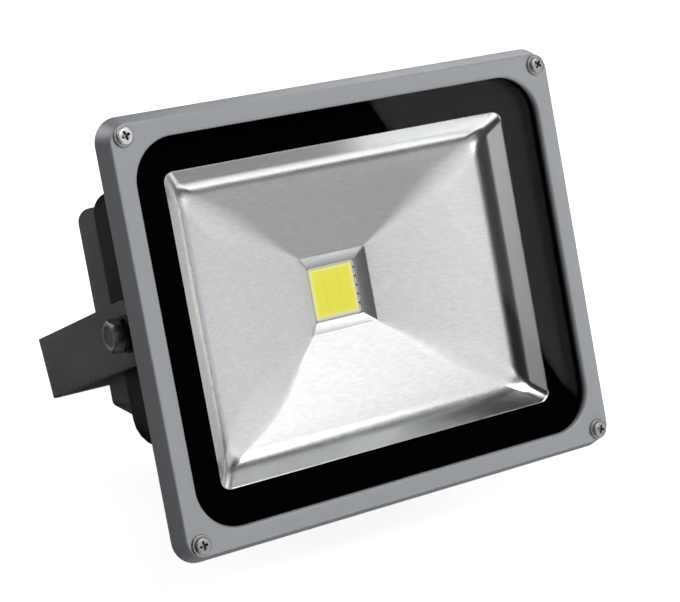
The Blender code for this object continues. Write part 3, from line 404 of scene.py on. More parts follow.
# Painted shadow: the pivot washers' steel is made near black for the shade they sit in between the
# bolt head and the leg.
WASHER_STEEL_PAINTED_SHADOW = bare_metal("washer steel with painted shadow", (0.09, 0.087, 0.084), (0.06, 0.058, 0.056), 0.5)
REFLECTOR_METAL = toned_metal("brushed reflector aluminium", (0.86, 0.87, 0.88), (0.88, 0.89, 0.90),
                              0.42, 0.21, 0.16, 700.0, (0.4, 1.0, 2.4), 0.12)
ALUMINIUM = bare_metal("bare aluminium", (0.78, 0.79, 0.80), (0.68, 0.69, 0.70), 0.35)
SILICONE = soft("grey silicone", (0.10, 0.10, 0.10), (0.07, 0.07, 0.07), 0.65)
DAM_SILICONE = dotted_silicone("cream silicone", (0.86, 0.85, 0.72), (0.04, 0.04, 0.03))
NYLON = soft("black nylon", (0.016, 0.016, 0.017), (0.010, 0.010, 0.011), 0.40)
WHITE_PLASTIC = soft("white moulded plastic", (0.74, 0.74, 0.70), (0.66, 0.66, 0.62), 0.42)
RED_LEAD = soft("red lead insulation", (0.42, 0.025, 0.022), (0.30, 0.018, 0.016), 0.45)
BLACK_LEAD = soft("black lead insulation", (0.02, 0.02, 0.02), (0.012, 0.012, 0.012), 0.45)
PHOSPHOR = striped_gel("yellow phosphor gel", (0.80, 0.76, 0.075), (0.74, 0.70, 0.06),
                       (0.62, 0.60, 0.05), (0.86, 0.85, 0.6))
BLACK_PRINT = soft("black screen print", (0.0012, 0.0012, 0.0012), (0.0008, 0.0008, 0.0008), 0.6,
                   Specular_IOR_Level=0.0)


def clear_glass():
    """Thin clear glass: see-through, but for a mirror share that grows from very little head on
    to all of it at grazing, as the fifth power of how far the surface turns away. It's the same
    on both faces."""
    finish = bpy.data.materials.new("clear glass")
    finish.use_nodes = True
    tree = finish.node_tree
    tree.nodes.clear()
    out = add(tree, "OutputMaterial")
    through = add(tree, "BsdfTransparent")
    mirror = add(tree, "BsdfGlossy", Roughness=0.0)
    turned = add(tree, "LayerWeight", Blend=0.5)
    fifth = add(tree, "Math", operation="POWER")
    fifth.inputs[1].default_value = 5.0
    blend = add(tree, "MixShader")
    head_on = 0.009
    tree.links.new(turned.outputs["Facing"], fifth.inputs[0])
    share = spread(tree, fifth.outputs["Value"], head_on, 1.0, 0.0, 1.0)
    tree.links.new(share, blend.inputs["Fac"])
    smear = noise(tree, 60.0, 2.0)
    tree.links.new(spread(tree, smear, 0.0, 0.012), mirror.inputs["Roughness"])
    tree.links.new(through.outputs["BSDF"], blend.inputs[1])
    tree.links.new(mirror.outputs["BSDF"], blend.inputs[2])
    tree.links.new(blend.outputs["Shader"], out.inputs["Surface"])
    return finish


GLASS = clear_glass()


# Front frame

def front_frame():
    """The frame's cross-section, a closed line in inset and depth, carried round its outline. The
    outer stations shrink with the outline and the inner ones grow with the opening."""
    opening, outer_corner, inner_corner = np.array([100.7, 81.2]), 11.0, 19.0
    wall = filleted([(1.2, 8.5), (0.0, 8.5), (3.5, 0.0), (7.0, 0.0)], [0, 0.4, 0.9, 0], 8)[:-1]
    lip = filleted([(6.0, 0.0), (0.0, 0.0), (0.0, 2.6), (4.5, 2.6), (4.5, 8.5), (6.0, 8.5)],
                   [0, 1.3, 0.25, 0.3, 0.3, 0], 8)[1:-1]
    rows = [at_depth(round_rect(*(FRAME - s), outer_corner - s, corner=20), y) for s, y in wall]
    rows += [at_depth(round_rect(*(opening + g), inner_corner + g, corner=20), y) for g, y in lip]
    shells = Shells().rows(np.array(rows), ring=True)
    piece("front_frame_casting", shells, "head", FRAME_PAINT, "front_frame")


def cross_outline(angle, length, width):
    """Radius of a rounded cross at each angle: the arm's end, or where its side is met."""
    off_arm = np.abs((angle + math.pi / 4) % (math.pi / 2) - math.pi / 4)
    side = width / np.maximum(np.sin(off_arm), 1e-3)
    return (length ** -8.0 + side ** -8.0) ** (-1 / 8.0)


def cross_screw_head(shells, centre, seat, top, turn, tone):
    """A pan head: rings from its seat over the dome to the cross recess, whose rings are the cross
    outline shrunk towards the centre as they go down. The recess and the underside at the seat are
    darkened with painted shade, and tone sets how light the dome is painted. The head stands out
    from seat to top, whichever way that is along y."""
    segments, radius, height = 96, 3.5, top - seat
    cross = cross_outline(around(segments) - turn, 1.85, 0.42)
    dome = ((0.0, 0.6), (0.0, 0.97), (0.10, 1.0), (0.46, 0.99), (0.72, 0.95), (0.88, 0.88),
            (0.96, 0.78))
    rings = [(seat + h * height, r * radius) for h, r in dome]
    rings.append((top - 0.01 * height, np.maximum(cross * 1.12, 0.64 * radius)))
    rings.append((top, cross * 1.06))
    recess = ((0.06, 1.0), (0.55, 0.9), (1.05, 0.62), (1.25, 0.25))
    rings += [(top - math.copysign(d, height), cross * share) for d, share in recess]
    # Painted shade: dark tones under the head at its seat and down the recess; the dome takes the
    # given tone.
    tones = [0.8, 0.8, 0.7] + [tone] * 5 + [0.75, 1.0, 1.0, 1.0, 0.3]
    shells.rows(lathe(rings, centre, segments=segments), tone=tones)


def frame_screws():
    """A washer and a pan head at each corner. Their crosses point different ways. The washers are
    darkened with painted shade, most at the back where they meet the frame, and the head at the top
    left is painted lighter than the others as a painted highlight."""
    turns = {"top_left": 0.35, "top_right": 0.95, "bottom_left": 0.15, "bottom_right": 1.25}
    washer = filleted([(-0.05, 2.2), (-0.05, 4.45), (-1.05, 4.45), (-1.05, 2.2)],
                      [0.05, 0.15, 0.35, 0.05], 5, closed=True)
    for corner, (x, z) in FRAME_SCREWS.items():
        centre = (x, 0.0, z)
        # Painted shade: the washer is darker at its back, against the frame, than at its front.
        shells = Shells().rows(lathe(washer, centre), ring=True, tone=[0.8] * 12 + [0.55] * 12)
        # Painted highlight: the top left head is left light and the others are painted darker.
        tone = 0.0 if corner == "top_left" else 0.45
        cross_screw_head(shells, centre, -1.0, -2.7, turns[corner], tone)
        shells.rows(lathe([(-1.2, 1.9), (14.4, 1.9), (15.0, 1.3)], centre, segments=24))
        piece("frame_screw_" + corner + "_detail", shells, "head", SCREW_STEEL,
              "frame_screw_" + corner)


# Glass, black border and reflector

def glass_and_border():
    """The pane is a rounded slab with eased edges. The printed border is a thin ring on its back,
    from beyond the frame's opening in to the clear window."""
    pane, pane_corner, window_corner, thickness = np.array([103.5, 84.0]), 21.8, 4.5, 4.0
    front = GLASS_BACK - thickness
    ease = filleted([(1.0, front), (0.0, front), (0.0, GLASS_BACK), (1.0, GLASS_BACK)],
                    [0, 0.4, 0.4, 0], 5)
    rows = [at_depth(round_rect(*(pane - s), pane_corner - s), y) for s, y in ease]
    piece("glass_pane_clear", Shells().rows(np.array(rows)), "head", GLASS,
          "glass_pane", sharp=50.0)

    outer = round_rect(*(pane - 0.1), pane_corner - 0.1)
    window = round_rect(*WINDOW, window_corner)
    near, far = GLASS_BACK + 0.02, GLASS_BACK + 0.1
    rows = [at_depth(outer, near), at_depth(window, near),
            at_depth(window, far), at_depth(outer, far)]
    piece("glass_printed_border", Shells().rows(np.array(rows), ring=True), "head",
          BLACK_PRINT)


def lip_profile():
    """Distance in from the window's edge and depth: over the rim, down a slanting facet, then
    round a wide knee on to the slope of the faces."""
    corners = [(-1.4, 7.95), (0.1, 7.95), (8.06, 16.49), (18.0, 19.43)]
    return filleted(corners, [0, 0.8, 17.0, 0], 12)[:-1]


def reflector():
    """Pressed sheet: loops go from the flange over the rim, down the lip's facet and round the
    knee, down the four shallow faces to the collar and to the hole, and come back half a
    millimetre behind. The lip is polished, which its tone says, and the faces are brushed. The
    edges between two faces are rounder at a third of the way down than at either end."""
    collar, collar_y = 17.6, 31.9
    inward = lip_profile()
    corner = np.interp(inward[:, 0], (-1.3, 0.6, 5.0, 12.5), (6.0, 4.6, 4.8, 8.0))
    stations = [(97.0, 78.4, 14.0, 7.95)]
    stations += [(*(WINDOW - d), r, y) for (d, y), r in zip(inward, corner)]
    polish = [1.0] + list(np.interp(inward[:, 0], (9.0, 12.5), (1.0, 0.0)))
    outer_w, outer_h, _, outer_y = stations[-1]
    for t in (0.15, 0.3, 0.45, 0.6, 0.75, 0.88, 1.0):
        radius = 8.0 - 6.9 * t + 45.0 * t * (1.0 - t) ** 2
        stations.append((outer_w + (collar - outer_w) * t, outer_h + (collar - outer_h) * t, radius,
                         outer_y + (collar_y - outer_y) * t))
    stations += [(w, w, r, y) for w, r, y in
                 ((17.2, 1.0, 32.02), (16.9, 0.9, 32.2), (12.7, 0.6, 34.9), (12.3, 0.5, 35.0))]
    polish += [0.0] * 7 + [0.3] * 4

    def loop(w, h, r, y, back):
        """A loop of the sheet's front or, with back at 1, of its back. Its middle rises towards
        the LED's as it narrows."""
        rise = LED_RISE * min(1.0, max(0.0, (outer_w - w) / (outer_w - collar)))
        wider, rounder, deeper = 0.4 * back, 0.2 * back, 0.5 * back
        return at_depth(round_rect(w + wider, h + wider, r + rounder, rise, corner=10), y + deeper)

    rows = [loop(*s, 0.0) for s in stations] + [loop(*s, 1.0) for s in reversed(stations)]
    shells = Shells().rows(np.array(rows), ring=True, tone=polish + polish[::-1])
    piece("reflector_sheet", shells, "head", REFLECTOR_METAL, "reflector",
          sharp=30.0)


def light_source():
    """The emitter: a raised cream dam, with five dark dots on its right edge, round a slightly
    domed square of phosphor."""
    dam = filleted([(12.15, 36.0), (12.15, 35.15), (10.95, 35.15), (10.95, 36.0)],
                   [0.1, 0.35, 0.35, 0.1], 5, closed=True)
    rows = [at_depth(round_rect(w, w, max(0.3, w - 10.6), LED_RISE, corner=6), y) for w, y in dam]
    shells = Shells().rows(np.array(rows), ring=True)
    dot = [(35.24, 0.5), (35.08, 0.46), (35.0, 0.2)]
    for z in (10.2, 6.2, 2.1, -1.9, -6.0):
        shells.rows(lathe(dot, (11.6, 0.0, z), segments=16), tone=1.0)
    piece("led_dam_bead", shells, "head", DAM_SILICONE, "led_dam")

    gel = ((10.9, 36.0), (10.9, 35.5), (10.4, 35.44), (9.7, 35.42), (8.0, 35.40), (4.0, 35.38))
    rows = [at_depth(round_rect(w, w, 0.3, LED_RISE, corner=5), y) for w, y in gel]
    shells = Shells().rows(np.array(rows), tone=[0.9, 0.9, 0.6, 0.1, 0.0, 0.0])
    piece("led_phosphor_gel", shells, "head", PHOSPHOR, "led_phosphor")


# Body

# Half width, upper edge and lower edge at the body's front, waist and rear
EDGES = {"half": (99.0, 97.9, 97.2), "top": (84.0, 64.4, 62.8), "bottom": (-84.0, -53.0, -50.8)}
SLOPES = {name: filleted([*zip((BODY_FRONT, BODY_WAIST, BODY_REAR), edge)], [0, 14.0, 0], 8)
          for name, edge in EDGES.items()}


def body_edges(y):
    """Half-width, upper and lower edge of the body's outline at depth y. It narrows in a straight
    taper to the waist and runs nearly level from there, with a round where the two meet."""
    return [float(np.interp(y, *slope.T)) for slope in SLOPES.values()]


def fin_floor(y, upper):
    """Height of the floor of the grooves between the fins, by straight lines between stations."""
    stations = np.array([12.0, 14.0, 20.0, 26.0, 33.0, 41.0, 50.0, 57.5])
    heights = np.array([78.0, 76.3, 71.8, 67.0, 62.0, 58.6, 58.2, 58.2]) if upper else \
        -np.array([78.0, 75.8, 69.2, 62.6, 54.6, 46.8, 44.9, 44.2])
    return float(np.interp(y, stations, heights))


def body_section(y, inset=0.0):
    """The outline at depth y: upright side walls, side blocks as high as the fins, and the
    lowered fields between them. Its corners are rounded, more at the foot towards the rear."""
    half, top, bottom = body_edges(y)
    half, top, bottom = half - inset, top - inset, bottom + inset
    field, least_step = 86.6, 0.3
    high = min(fin_floor(y, True), top - least_step)
    low = max(fin_floor(y, False), bottom + least_step)
    corners = [(half, top), (field, top), (field, high),
               (-field, high), (-field, top), (-half, top),
               (-half, bottom), (-field, bottom), (-field, low),
               (field, low), (field, bottom), (half, bottom)]
    shoulder = np.interp(y, (BODY_FRONT, BODY_WAIST, BODY_REAR), (12.0, 9.6, 9.0))
    foot = np.interp(y, (BODY_FRONT, BODY_WAIST), (12.0, 16.0))
    step_up, step_down = min(0.8, (top - high) / 3), min(0.8, (low - bottom) / 3)
    radii = [shoulder, *[step_up] * 4, shoulder, foot, *[step_down] * 4, foot]
    return filleted(corners, radii, 6, closed=True)


def onto_round_rect(points, half_w, half_h, radius, rise=0.0):
    """Nearest points on a rounded rectangle: clamped to its core, then pushed out by the radius."""
    core = np.stack([np.clip(points[:, 0], -half_w + radius, half_w - radius),
                     np.clip(points[:, 1], rise - half_h + radius, rise + half_h - radius)], -1)
    away = points - core
    length = np.maximum(np.linalg.norm(away, axis=1, keepdims=True), 1e-9)
    return core + away / length * radius


def heatsink_body():
    """The body's skin in one run of loops: chamber behind the reflector, outside, rear rim and
    driver chamber. Flange, screw posts, pivot pads and fins are shells of their own."""
    shells = Shells()
    start, ease, chamber_corner = 12.8, 0.9, 9.0
    front = body_section(start)
    chamber = [(93.6, 48.2, 6.0, 6.2, 38.6), (94.4, 63.0, 8.0, 0.5, 24.0),
               (*CHAMBER, chamber_corner, 0.0, start)]
    rows = [at_depth(onto_round_rect(front, w, h, r, rise), y) for w, h, r, rise, y in chamber]
    rows += [at_depth(body_section(y), y) for y in np.linspace(start, BODY_REAR - ease, 23)]
    for a in np.linspace(0.3, math.pi / 2, 5):
        y = BODY_REAR - ease * (1 - math.sin(a))
        rows.append(at_depth(body_section(y, ease * (1 - math.cos(a))), y))
    rear = body_section(BODY_REAR, ease)
    rows += [at_depth(onto_round_rect(rear, w, h, 6.0, 7.7), y)
             for w, h, y in ((90.0, 46.7, BODY_REAR), (89.6, 46.3, 43.6))]
    shells.rows(np.array(rows))

    flange, seat = FRAME - 4.0, 8.8
    edge = filleted([(3.0, seat), (0.0, seat), (0.0, BODY_FRONT), (3.0, BODY_FRONT)],
                    [0, 0.4, 0.7, 0], 5)
    rows = [at_depth(round_rect(*(flange - s), 6.2 - s), y) for s, y in edge]
    rows += [at_depth(round_rect(*CHAMBER, chamber_corner), y) for y in (BODY_FRONT, seat)]
    shells.rows(np.array(rows), ring=True)

    post = filleted([(11.0, 3.9), (16.2, 3.9), (16.2, 2.2), (12.0, 2.2), (12.0, 1.0)],
                    [0, 0.5, 0.2, 0, 0], 4)
    for x, z in FRAME_SCREWS.values():
        shells.rows(lathe(post, (x, 0.0, z), segments=32))
    pad = filleted([(90.0, 13.5), (99.6, 13.5), (99.6, 4.4), (90.0, 4.4)], [0, 0.6, 0.2, 0], 5)
    for side in SIDES.values():
        shells.rows(lathe(pad, PIVOT_IN_HEAD, "x", side=side), ring=True)

    add_fins(shells)
    piece("heatsink_casting", shells, "head", BODY_PAINT, "heatsink_body",
          sharp=32.0)


def add_fins(shells):
    """Each fin's cross-section, flared at its root and round at its crest, is carried from the
    flange to the rear rim, where the last sections draw in to round its end."""
    gaps, field, thickness = 14, 171.0, 2.4
    pitch = field / gaps
    arc = np.linspace(0.0, math.pi, 9)
    stations = [(y, 0.0) for y in np.linspace(12.8, 56.7, 15)] + [(57.2, 0.3), (57.45, 0.75)]
    for upper in (True, False):
        sign = 1.0 if upper else -1.0
        for k in range(gaps + 1):
            centre = -field / 2 + k * pitch
            rows = []
            for y, draw in stations:
                _, top, bottom = body_edges(y)
                crest = (top if upper else -bottom) - 0.9 * draw
                floor = min(abs(fin_floor(y, upper)), crest - 0.8)
                half = thickness / 2 - 0.5 * draw
                flare = ((1.3, -0.8), (1.0, 0.05), (0.35, 0.35), (0.08, 1.0))
                side = [(half + w, min(floor + h, crest - half)) for w, h in flare]
                cap = [(half * 0.88 * math.cos(a), crest - half + half * math.sin(a)) for a in arc]
                loop = side + cap + [(-w, h) for w, h in reversed(side)]
                rows.append(at_depth([(centre + w, sign * h) for w, h in loop], y))
            shells.rows(np.array(rows))


# Driver cover

def cover_outline(grow):
    """Round upper corners and slanting lower ones, grown all round by grow."""
    half, high, low = 92.4 + grow, 57.0 + grow, -41.6 - grow
    run, rise = 14.0 + 0.45 * grow, 11.4 + 0.45 * grow
    corners = [(half, high), (-half, high), (-half, low + rise), (-half + run, low),
               (half - run, low), (half, low + rise)]
    turn = max(6.0 + grow, 0.8)
    bend = max(3.0 + 0.6 * grow, 0.5)
    return filleted(corners, [turn, turn, bend, bend, bend, bend], 10, closed=True)


def crown(z):
    """How far the cover's back bulges: a parabola in height about the cover's middle."""
    middle, half, bulge = 7.7, 49.3, 2.4
    return bulge * (1.0 - np.clip(np.abs(z - middle) / half, 0.0, 1.0) ** 2)


def filled(loops, spacing):
    """A triangulated flat region: first loop outside, the others holes, and a grid of points
    inside so that it can be bent. Returns points and triangles, the loops' points first."""
    points = np.concatenate(loops)
    low, high = points.min(0), points.max(0)
    gx, gz = np.meshgrid(np.arange(low[0], high[0], spacing), np.arange(low[1], high[1], spacing))
    grid = np.stack([gx.ravel(), gz.ravel()], -1)
    clear = np.min(np.linalg.norm(grid[:, None] - points[None], axis=2), axis=1) > spacing * 0.45
    every = np.concatenate([points, grid[within(grid, loops) & clear]])
    edges, start = [], 0
    for loop in loops:
        n = len(loop)
        edges += [(start + i, start + (i + 1) % n) for i in range(n)]
        start += n
    flat = [Vector((float(a), float(b))) for a, b in every]
    verts, _, faces, _, _, _ = delaunay_2d_cdt(flat, edges, [], 0, 1e-5)
    verts = np.array([[v.x, v.y] for v in verts])
    faces = np.array([f for f in faces if len(f) == 3])
    return verts, faces[within(verts[faces].mean(1), loops)]


def within(points, loops):
    """Whether each point lies in the first loop and in none of the others."""
    return inside(points, loops[0]) & ~np.any([inside(points, hole) for hole in loops[1:]], axis=0)


def inside(points, loop):
    """Whether each point lies in the loop, by the parity of the edges crossed to its right."""
    a, b = loop, np.roll(loop, -1, 0)
    px, pz = points[:, :1], points[:, 1:]
    spans = (a[:, 1] > pz) != (b[:, 1] > pz)
    rise = np.where(np.abs(b[:, 1] - a[:, 1]) < 1e-12, 1e-12, b[:, 1] - a[:, 1])
    cross = a[:, 0] + (pz - a[:, 1]) * (b[:, 0] - a[:, 0]) / rise
    return np.sum(spans & (px < cross), axis=1) % 2 == 1


def driver_cover():
    """Drafted walls as loops of the outline, a crowned back filled between the outline and the
    screw wells, and the wells and the gland's pad as rings of their own."""
    wall = filleted([(-3.0, 58.8), (0.8, 58.8), (0.0, COVER_BACK), (-4.0, COVER_BACK)],
                    [0, 0.4, 2.4, 0], 9)
    fade = 3.6
    shares = np.clip(1.0 - (COVER_BACK - wall[:, 1]) / fade, 0.0, 1.0)

    def lifted(loop, y, share):
        """The loop at depth y, moved back by a share of the crown."""
        grid = at_depth(loop, y)
        grid[:, 1] += share * crown(loop[:, 1])
        return grid

    rows = [lifted(cover_outline(-2.8), 84.8, 1.0)]
    rows += [lifted(cover_outline(g), y, share) for (g, y), share in zip(wall, shares)]
    well = [(5.0, COVER_BACK, 1.0), (4.75, 87.45, 1.0), (4.6, 87.1, 1.0), (4.5, 86.4, 1.0),
            (4.4, 70.0, 0.0), (1.0, 70.0, 0.0)]
    holes = [circle(at, well[0][0]) for at in COVER_SCREWS.values()]
    flat, faces = filled([cover_outline(wall[-1, 0])] + holes, 5.0)
    m, n = len(rows), len(rows[0])
    points = rows + [lifted(flat, COVER_BACK, 1.0)]
    faces = quads(m, n) + [list(range(n))] + (faces + m * n).tolist()
    start = m * n + len(flat)
    for at in COVER_SCREWS.values():
        rings = [lifted(circle(at, r), y, share) for r, y, share in well]
        m, n = len(rings), len(rings[0])
        faces += quads(m, n, start=start) + [[start + (m - 1) * n + v for v in range(n)]]
        points += rings
        start += m * n
    shells = Shells().add(np.concatenate(points), faces)
    pad = filleted([(86.0, 4.0), (86.0, 14.6), (90.8, 13.5), (90.8, 8.4), (86.0, 8.4)],
                   [0, 0, 0.8, 0.2, 0], 5)
    shells.rows(lathe(pad[1:], GLAND, segments=72), ring=True)
    piece("driver_cover_casting", shells, "head", COVER_PAINT, "driver_cover",
          sharp=30.0)

    for k, (corner, (x, z)) in enumerate(COVER_SCREWS.items()):
        shells = Shells()
        cross_screw_head(shells, (x, 0.0, z), 70.3, 73.1, 0.4 + 0.9 * k, 0.25)
        shells.rows(lathe([(49.0, 1.3), (49.6, 1.9), (70.6, 1.9)], (x, 0.0, z), segments=24))
        piece("cover_screw_" + corner + "_detail", shells, "head", SCREW_STEEL,
              "cover_screw_" + corner)


# Cable gland

def hex_radius(angle, flats):
    """Radius of a hexagon at each angle: half its width over the cosine of the angle off the
    nearest flat's middle."""
    off = (angle + math.pi / 6) % (math.pi / 3) - math.pi / 6
    return flats / 2.0 / np.cos(off)


def cable_gland():
    """A threaded sleeve with a hexagon whose corners are cut by a cone, a domed cap nut with grip
    ribs, and a rubber insert. Each is a closed line of depths and radii carried round."""
    segments, ribs = 120, 12
    flats = hex_radius(around(segments), 20.0)
    cones = ((91.15, 9.6), (91.15, 10.6), (91.5, 11.3), (95.2, 11.3), (95.6, 10.7))
    sleeve = [(y, np.minimum(flats, cone)) for y, cone in cones]
    sleeve += [(95.6, 8.5), (95.7, 7.6), (102.0, 7.6), (102.1, 6.4), (97.0, 6.4), (97.0, 5.0),
               (77.9, 5.0), (77.8, 7.6), (78.2, 7.9), (91.15, 7.9)]
    grip = 9.45 + 0.42 * np.clip(np.cos(around(segments) * ribs) * 3.0, -1.0, 1.0)
    cap = [(95.95, 7.9), (95.95, 9.2), (96.3, np.minimum(grip, 9.6)), (96.9, grip), (103.4, grip),
           (104.4, np.minimum(grip, 9.5)), (105.2, 9.1), (105.9, 8.9), (107.2, 8.7), (108.4, 8.15),
           (109.2, 7.3), (109.7, 6.2), (109.8, 5.4), (109.6, 5.0), (109.2, 4.9), (108.2, 4.9),
           (107.2, 6.4), (104.0, 7.9)]
    insert = [(97.5, 4.0), (97.5, 6.1), (105.6, 6.1), (106.7, 5.5), (106.9, 4.3), (106.6, 4.0)]
    for name, profile, slot, finish, node in (
            ("gland_body_detail", sleeve, "black_nylon", NYLON, "gland_body"),
            ("gland_cap_detail", cap, "black_nylon", NYLON, "gland_cap_nut"),
            ("gland_seal_detail", insert, "grey_silicone", SILICONE, "gland_seal")):
        shells = Shells().rows(lathe(profile, GLAND, segments=segments), ring=True)
        piece(name, shells, "head", finish, node)


# Bracket and pivots

# The strap's width and thickness, and how far its pivot holes are from its middle when it is flat.
# The centre of its right bend in the arm frame, and the radius of the sheet's middle there.
STRAP_WIDTH, STRAP_THICKNESS, PIVOT_ALONG = 28.0, 3.0, 201.498
BEND_X, BEND_Y, BEND_RADIUS = 99.0, 97.0, 3.5


def strap_outline(inward):
    """The flat strap's outline, drawn in by inward: long edges with points close together in the
    bends, and a half circle about each pivot."""
    steps = np.concatenate([np.linspace(0, 96, 25), np.linspace(98.4, 105.2, 18),
                            np.linspace(108, PIVOT_ALONG, 18)])
    along = np.concatenate([-steps[:0:-1], steps])
    radius = STRAP_WIDTH / 2 - inward
    arc = np.linspace(math.pi / 2, -math.pi / 2, 33)[1:-1]
    right = np.stack([PIVOT_ALONG + radius * np.cos(arc), radius * np.sin(arc)], -1)
    upper = np.stack([along, np.full(len(along), radius)], -1)
    return np.concatenate([upper, right, -upper, -right])


def slot_outline(centre, half_length, radius):
    """A slot's loop: a half circle about each end of its middle line."""
    a = np.linspace(-math.pi / 2, math.pi / 2, 13)
    end = np.stack([half_length + radius * np.cos(a), radius * np.sin(a)], -1)
    return np.concatenate([end, -end]) + [centre, 0.0]


def bent(s, t, h):
    """Flat strap to arm frame: s runs along the strap from the base's middle, t across it and h
    out of its outer face. The base is straight, then a quarter turn, then the leg."""
    side, run = np.sign(s), np.abs(s)
    turn = np.clip((run - BEND_X) / BEND_RADIUS, 0.0, math.pi / 2)
    past = np.maximum(run - BEND_X - BEND_RADIUS * math.pi / 2, 0.0)
    x = np.minimum(run, BEND_X) + (BEND_RADIUS + h) * np.sin(turn)
    y = BEND_Y + (BEND_RADIUS + h) * np.cos(turn) - past
    return np.stack([side * x, y, t], -1)


def mounting_bracket():
    """Both faces of the flat pattern are filled between outline and holes, the edges are rounded
    rings between them, and everything is then bent into the U."""
    half, ease = STRAP_THICKNESS / 2, 0.55

    def loops(inward):
        """The outline, the two pivot holes, the middle hole and the two slots. All of them leave
        less metal as inward grows."""
        places = ((-PIVOT_ALONG, 4.4), (PIVOT_ALONG, 4.4), (0.0, 4.5))
        holes = [circle((c, 0.0), r + inward, 40) for c, r in places]
        slots = [slot_outline(c, 6.0, 3.5 + inward) for c in (-62.0, 62.0)]
        return [strap_outline(inward)] + holes + slots

    angle = np.linspace(0.0, math.pi / 2, 5)
    levels = [(ease * (1 - math.sin(a)), half - ease * (1 - math.cos(a))) for a in angle]
    levels = levels + [(inward, -h) for inward, h in reversed(levels)]
    flat, faces = filled(loops(ease), 3.4)
    points, every, start = [], [], 0
    for h in (half, -half):
        points.append(bent(*flat.T, np.full(len(flat), h)))
        every += (faces + start).tolist()
        start += len(flat)
    outlines = [loops(inward) for inward, _ in levels]
    for same in zip(*outlines):
        points += [bent(*loop.T, np.full(len(loop), h)) for loop, (_, h) in zip(same, levels)]
        m, n = len(same), len(same[0])
        every += quads(m, n, start=start)
        start += m * n
    shells = Shells().add(np.concatenate(points), every)
    piece("bracket_strap", shells, "bracket", STRAP_PAINT, "mounting_bracket",
          sharp=40.0)


def hex_bolt(side):
    """Bolt head: rings shrink from the hexagon to a circle as the cone chamfer cuts the corners,
    then a raised rim and a shallow dish. The shank is a plain rod behind it."""
    segments, low, high = 96, 107.6, 112.35
    flats = hex_radius(around(segments) + 0.2, 13.0)
    cone = np.maximum(flats - 6.25, 0.0) * 0.6
    head = [(low, 6.2), (low, np.minimum(flats, 7.0)), (low + 0.25, flats),
            (high - 0.55 - cone, flats), (high - 0.3, np.minimum(flats, 6.3)), (high - 0.08, 6.0),
            (high, 5.6), (high, 4.9), (high - 0.12, 4.6), (high - 0.4, 4.4), (high - 0.5, 3.2),
            (high - 0.52, 1.0)]
    shank = [(88.0, 3.2), (88.8, 4.0), (107.9, 4.0)]
    shells = Shells().rows(lathe(head, PIVOT_IN_HEAD, "x", segments, side),
                           tone=[0, 0, 0, 0.3, 0.9, 1, 1, 1, 0.9, 0.2, 0, 0])
    return shells.rows(lathe(shank, PIVOT_IN_HEAD, "x", 32, side))


def split_ring(side):
    """A square wire carried round almost a full turn, with a slanting gap between its ends."""
    section = filleted([(4.4, 0.0), (7.2, 0.0), (7.2, 1.6), (4.4, 1.6)], [0.2] * 4, 3, closed=True)
    radius, rise = section.T
    gap, gap_at, slant = 0.14, 2.2, 0.06
    angle = np.linspace(gap, TAU - gap, 73)[:, None] + gap_at + (rise - 0.8) * slant
    x = np.broadcast_to(side * (105.7 + rise), angle.shape)
    grid = np.stack([x, radius * np.cos(angle), radius * np.sin(angle)], -1)
    return Shells().rows(grid + PIVOT_IN_HEAD)


def toothed_ring(side):
    """A flat ring whose rim rises and falls in small teeth between the body and the leg."""
    segments, teeth = 144, 18
    wave = np.clip(np.sin(around(segments) * teeth) * 2.0, -1.0, 1.0)
    rim = 8.2 + 0.35 * wave
    profile = [(99.9, 4.4), (99.88, rim), (100.3, 8.6 + 0.4 * wave), (100.72, rim), (100.7, 4.4)]
    return Shells().rows(lathe(profile, PIVOT_IN_HEAD, "x", segments, side), ring=True)


def pivots():
    """On both sides a bolt, a spring washer and a lock washer, which turn with the head, and a
    plain washer, a ring with rounded edges, which stays with the bracket's leg."""
    washer = filleted([(104.25, 4.4), (104.25, 8.0), (105.4, 8.0), (105.4, 4.4)],
                      [0.1, 0.2, 0.35, 0.1], 4, closed=True)
    for name, side in SIDES.items():
        piece("pivot_bolt_" + name + "_detail", hex_bolt(side), "head", BOLT_STEEL,
              "pivot_bolt_" + name, sharp=28.0)
        piece("spring_washer_" + name + "_detail", split_ring(side), "head",
              WASHER_STEEL_PAINTED_SHADOW, "spring_washer_" + name)
        piece("lock_washer_" + name + "_detail", toothed_ring(side), "head",
              WASHER_STEEL_PAINTED_SHADOW, "lock_washer_" + name)
        shells = Shells().rows(lathe(washer, (0, 0, 0), "x", side=side), ring=True)
        piece("plain_washer_" + name + "_detail", shells, "bracket", WASHER_STEEL_PAINTED_SHADOW,
              "plain_washer_" + name)


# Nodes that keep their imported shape

KEPT_NODES = {
    SILICONE: ("glass_gasket", "cover_gasket", "thermal_pad", "lead_grommet"),
    ALUMINIUM: ("led_base",),
    WHITE_PLASTIC: ("led_driver", "terminal_block"),
    RED_LEAD: ("led_lead_positive",),
    BLACK_LEAD: ("led_lead_negative",),
    NYLON: ("gland_locknut",),
    BRIGHT_STEEL: ("led_screw_top_left", "led_screw_top_right", "led_screw_bottom_left",
                   "led_screw_bottom_right", "driver_screw_left", "driver_screw_right",
                   "earth_screw"),
}


def dress_kept_nodes():
    """Gives each of these nodes its finish."""
    for finish, names in KEPT_NODES.items():
        for name in names:
            node = frame["nodes"][name]
            node.data.materials.clear()
            node.data.materials.append(finish)


# Stage

# The photograph's camera in the head frame: its place, and its right, down and forward axes
CAMERA_IN_HEAD = np.array([-436.372, -723.666, 70.441])
CAMERA_AXES = np.array([[0.844292, -0.504965, -0.179389], [-0.197194, 0.018508, -0.980190],
                        [0.498282, 0.862941, -0.083950]])
FOCAL_PIXELS, PHOTO_WIDTH, SENSOR = 1982.2, 680.0, 36.0


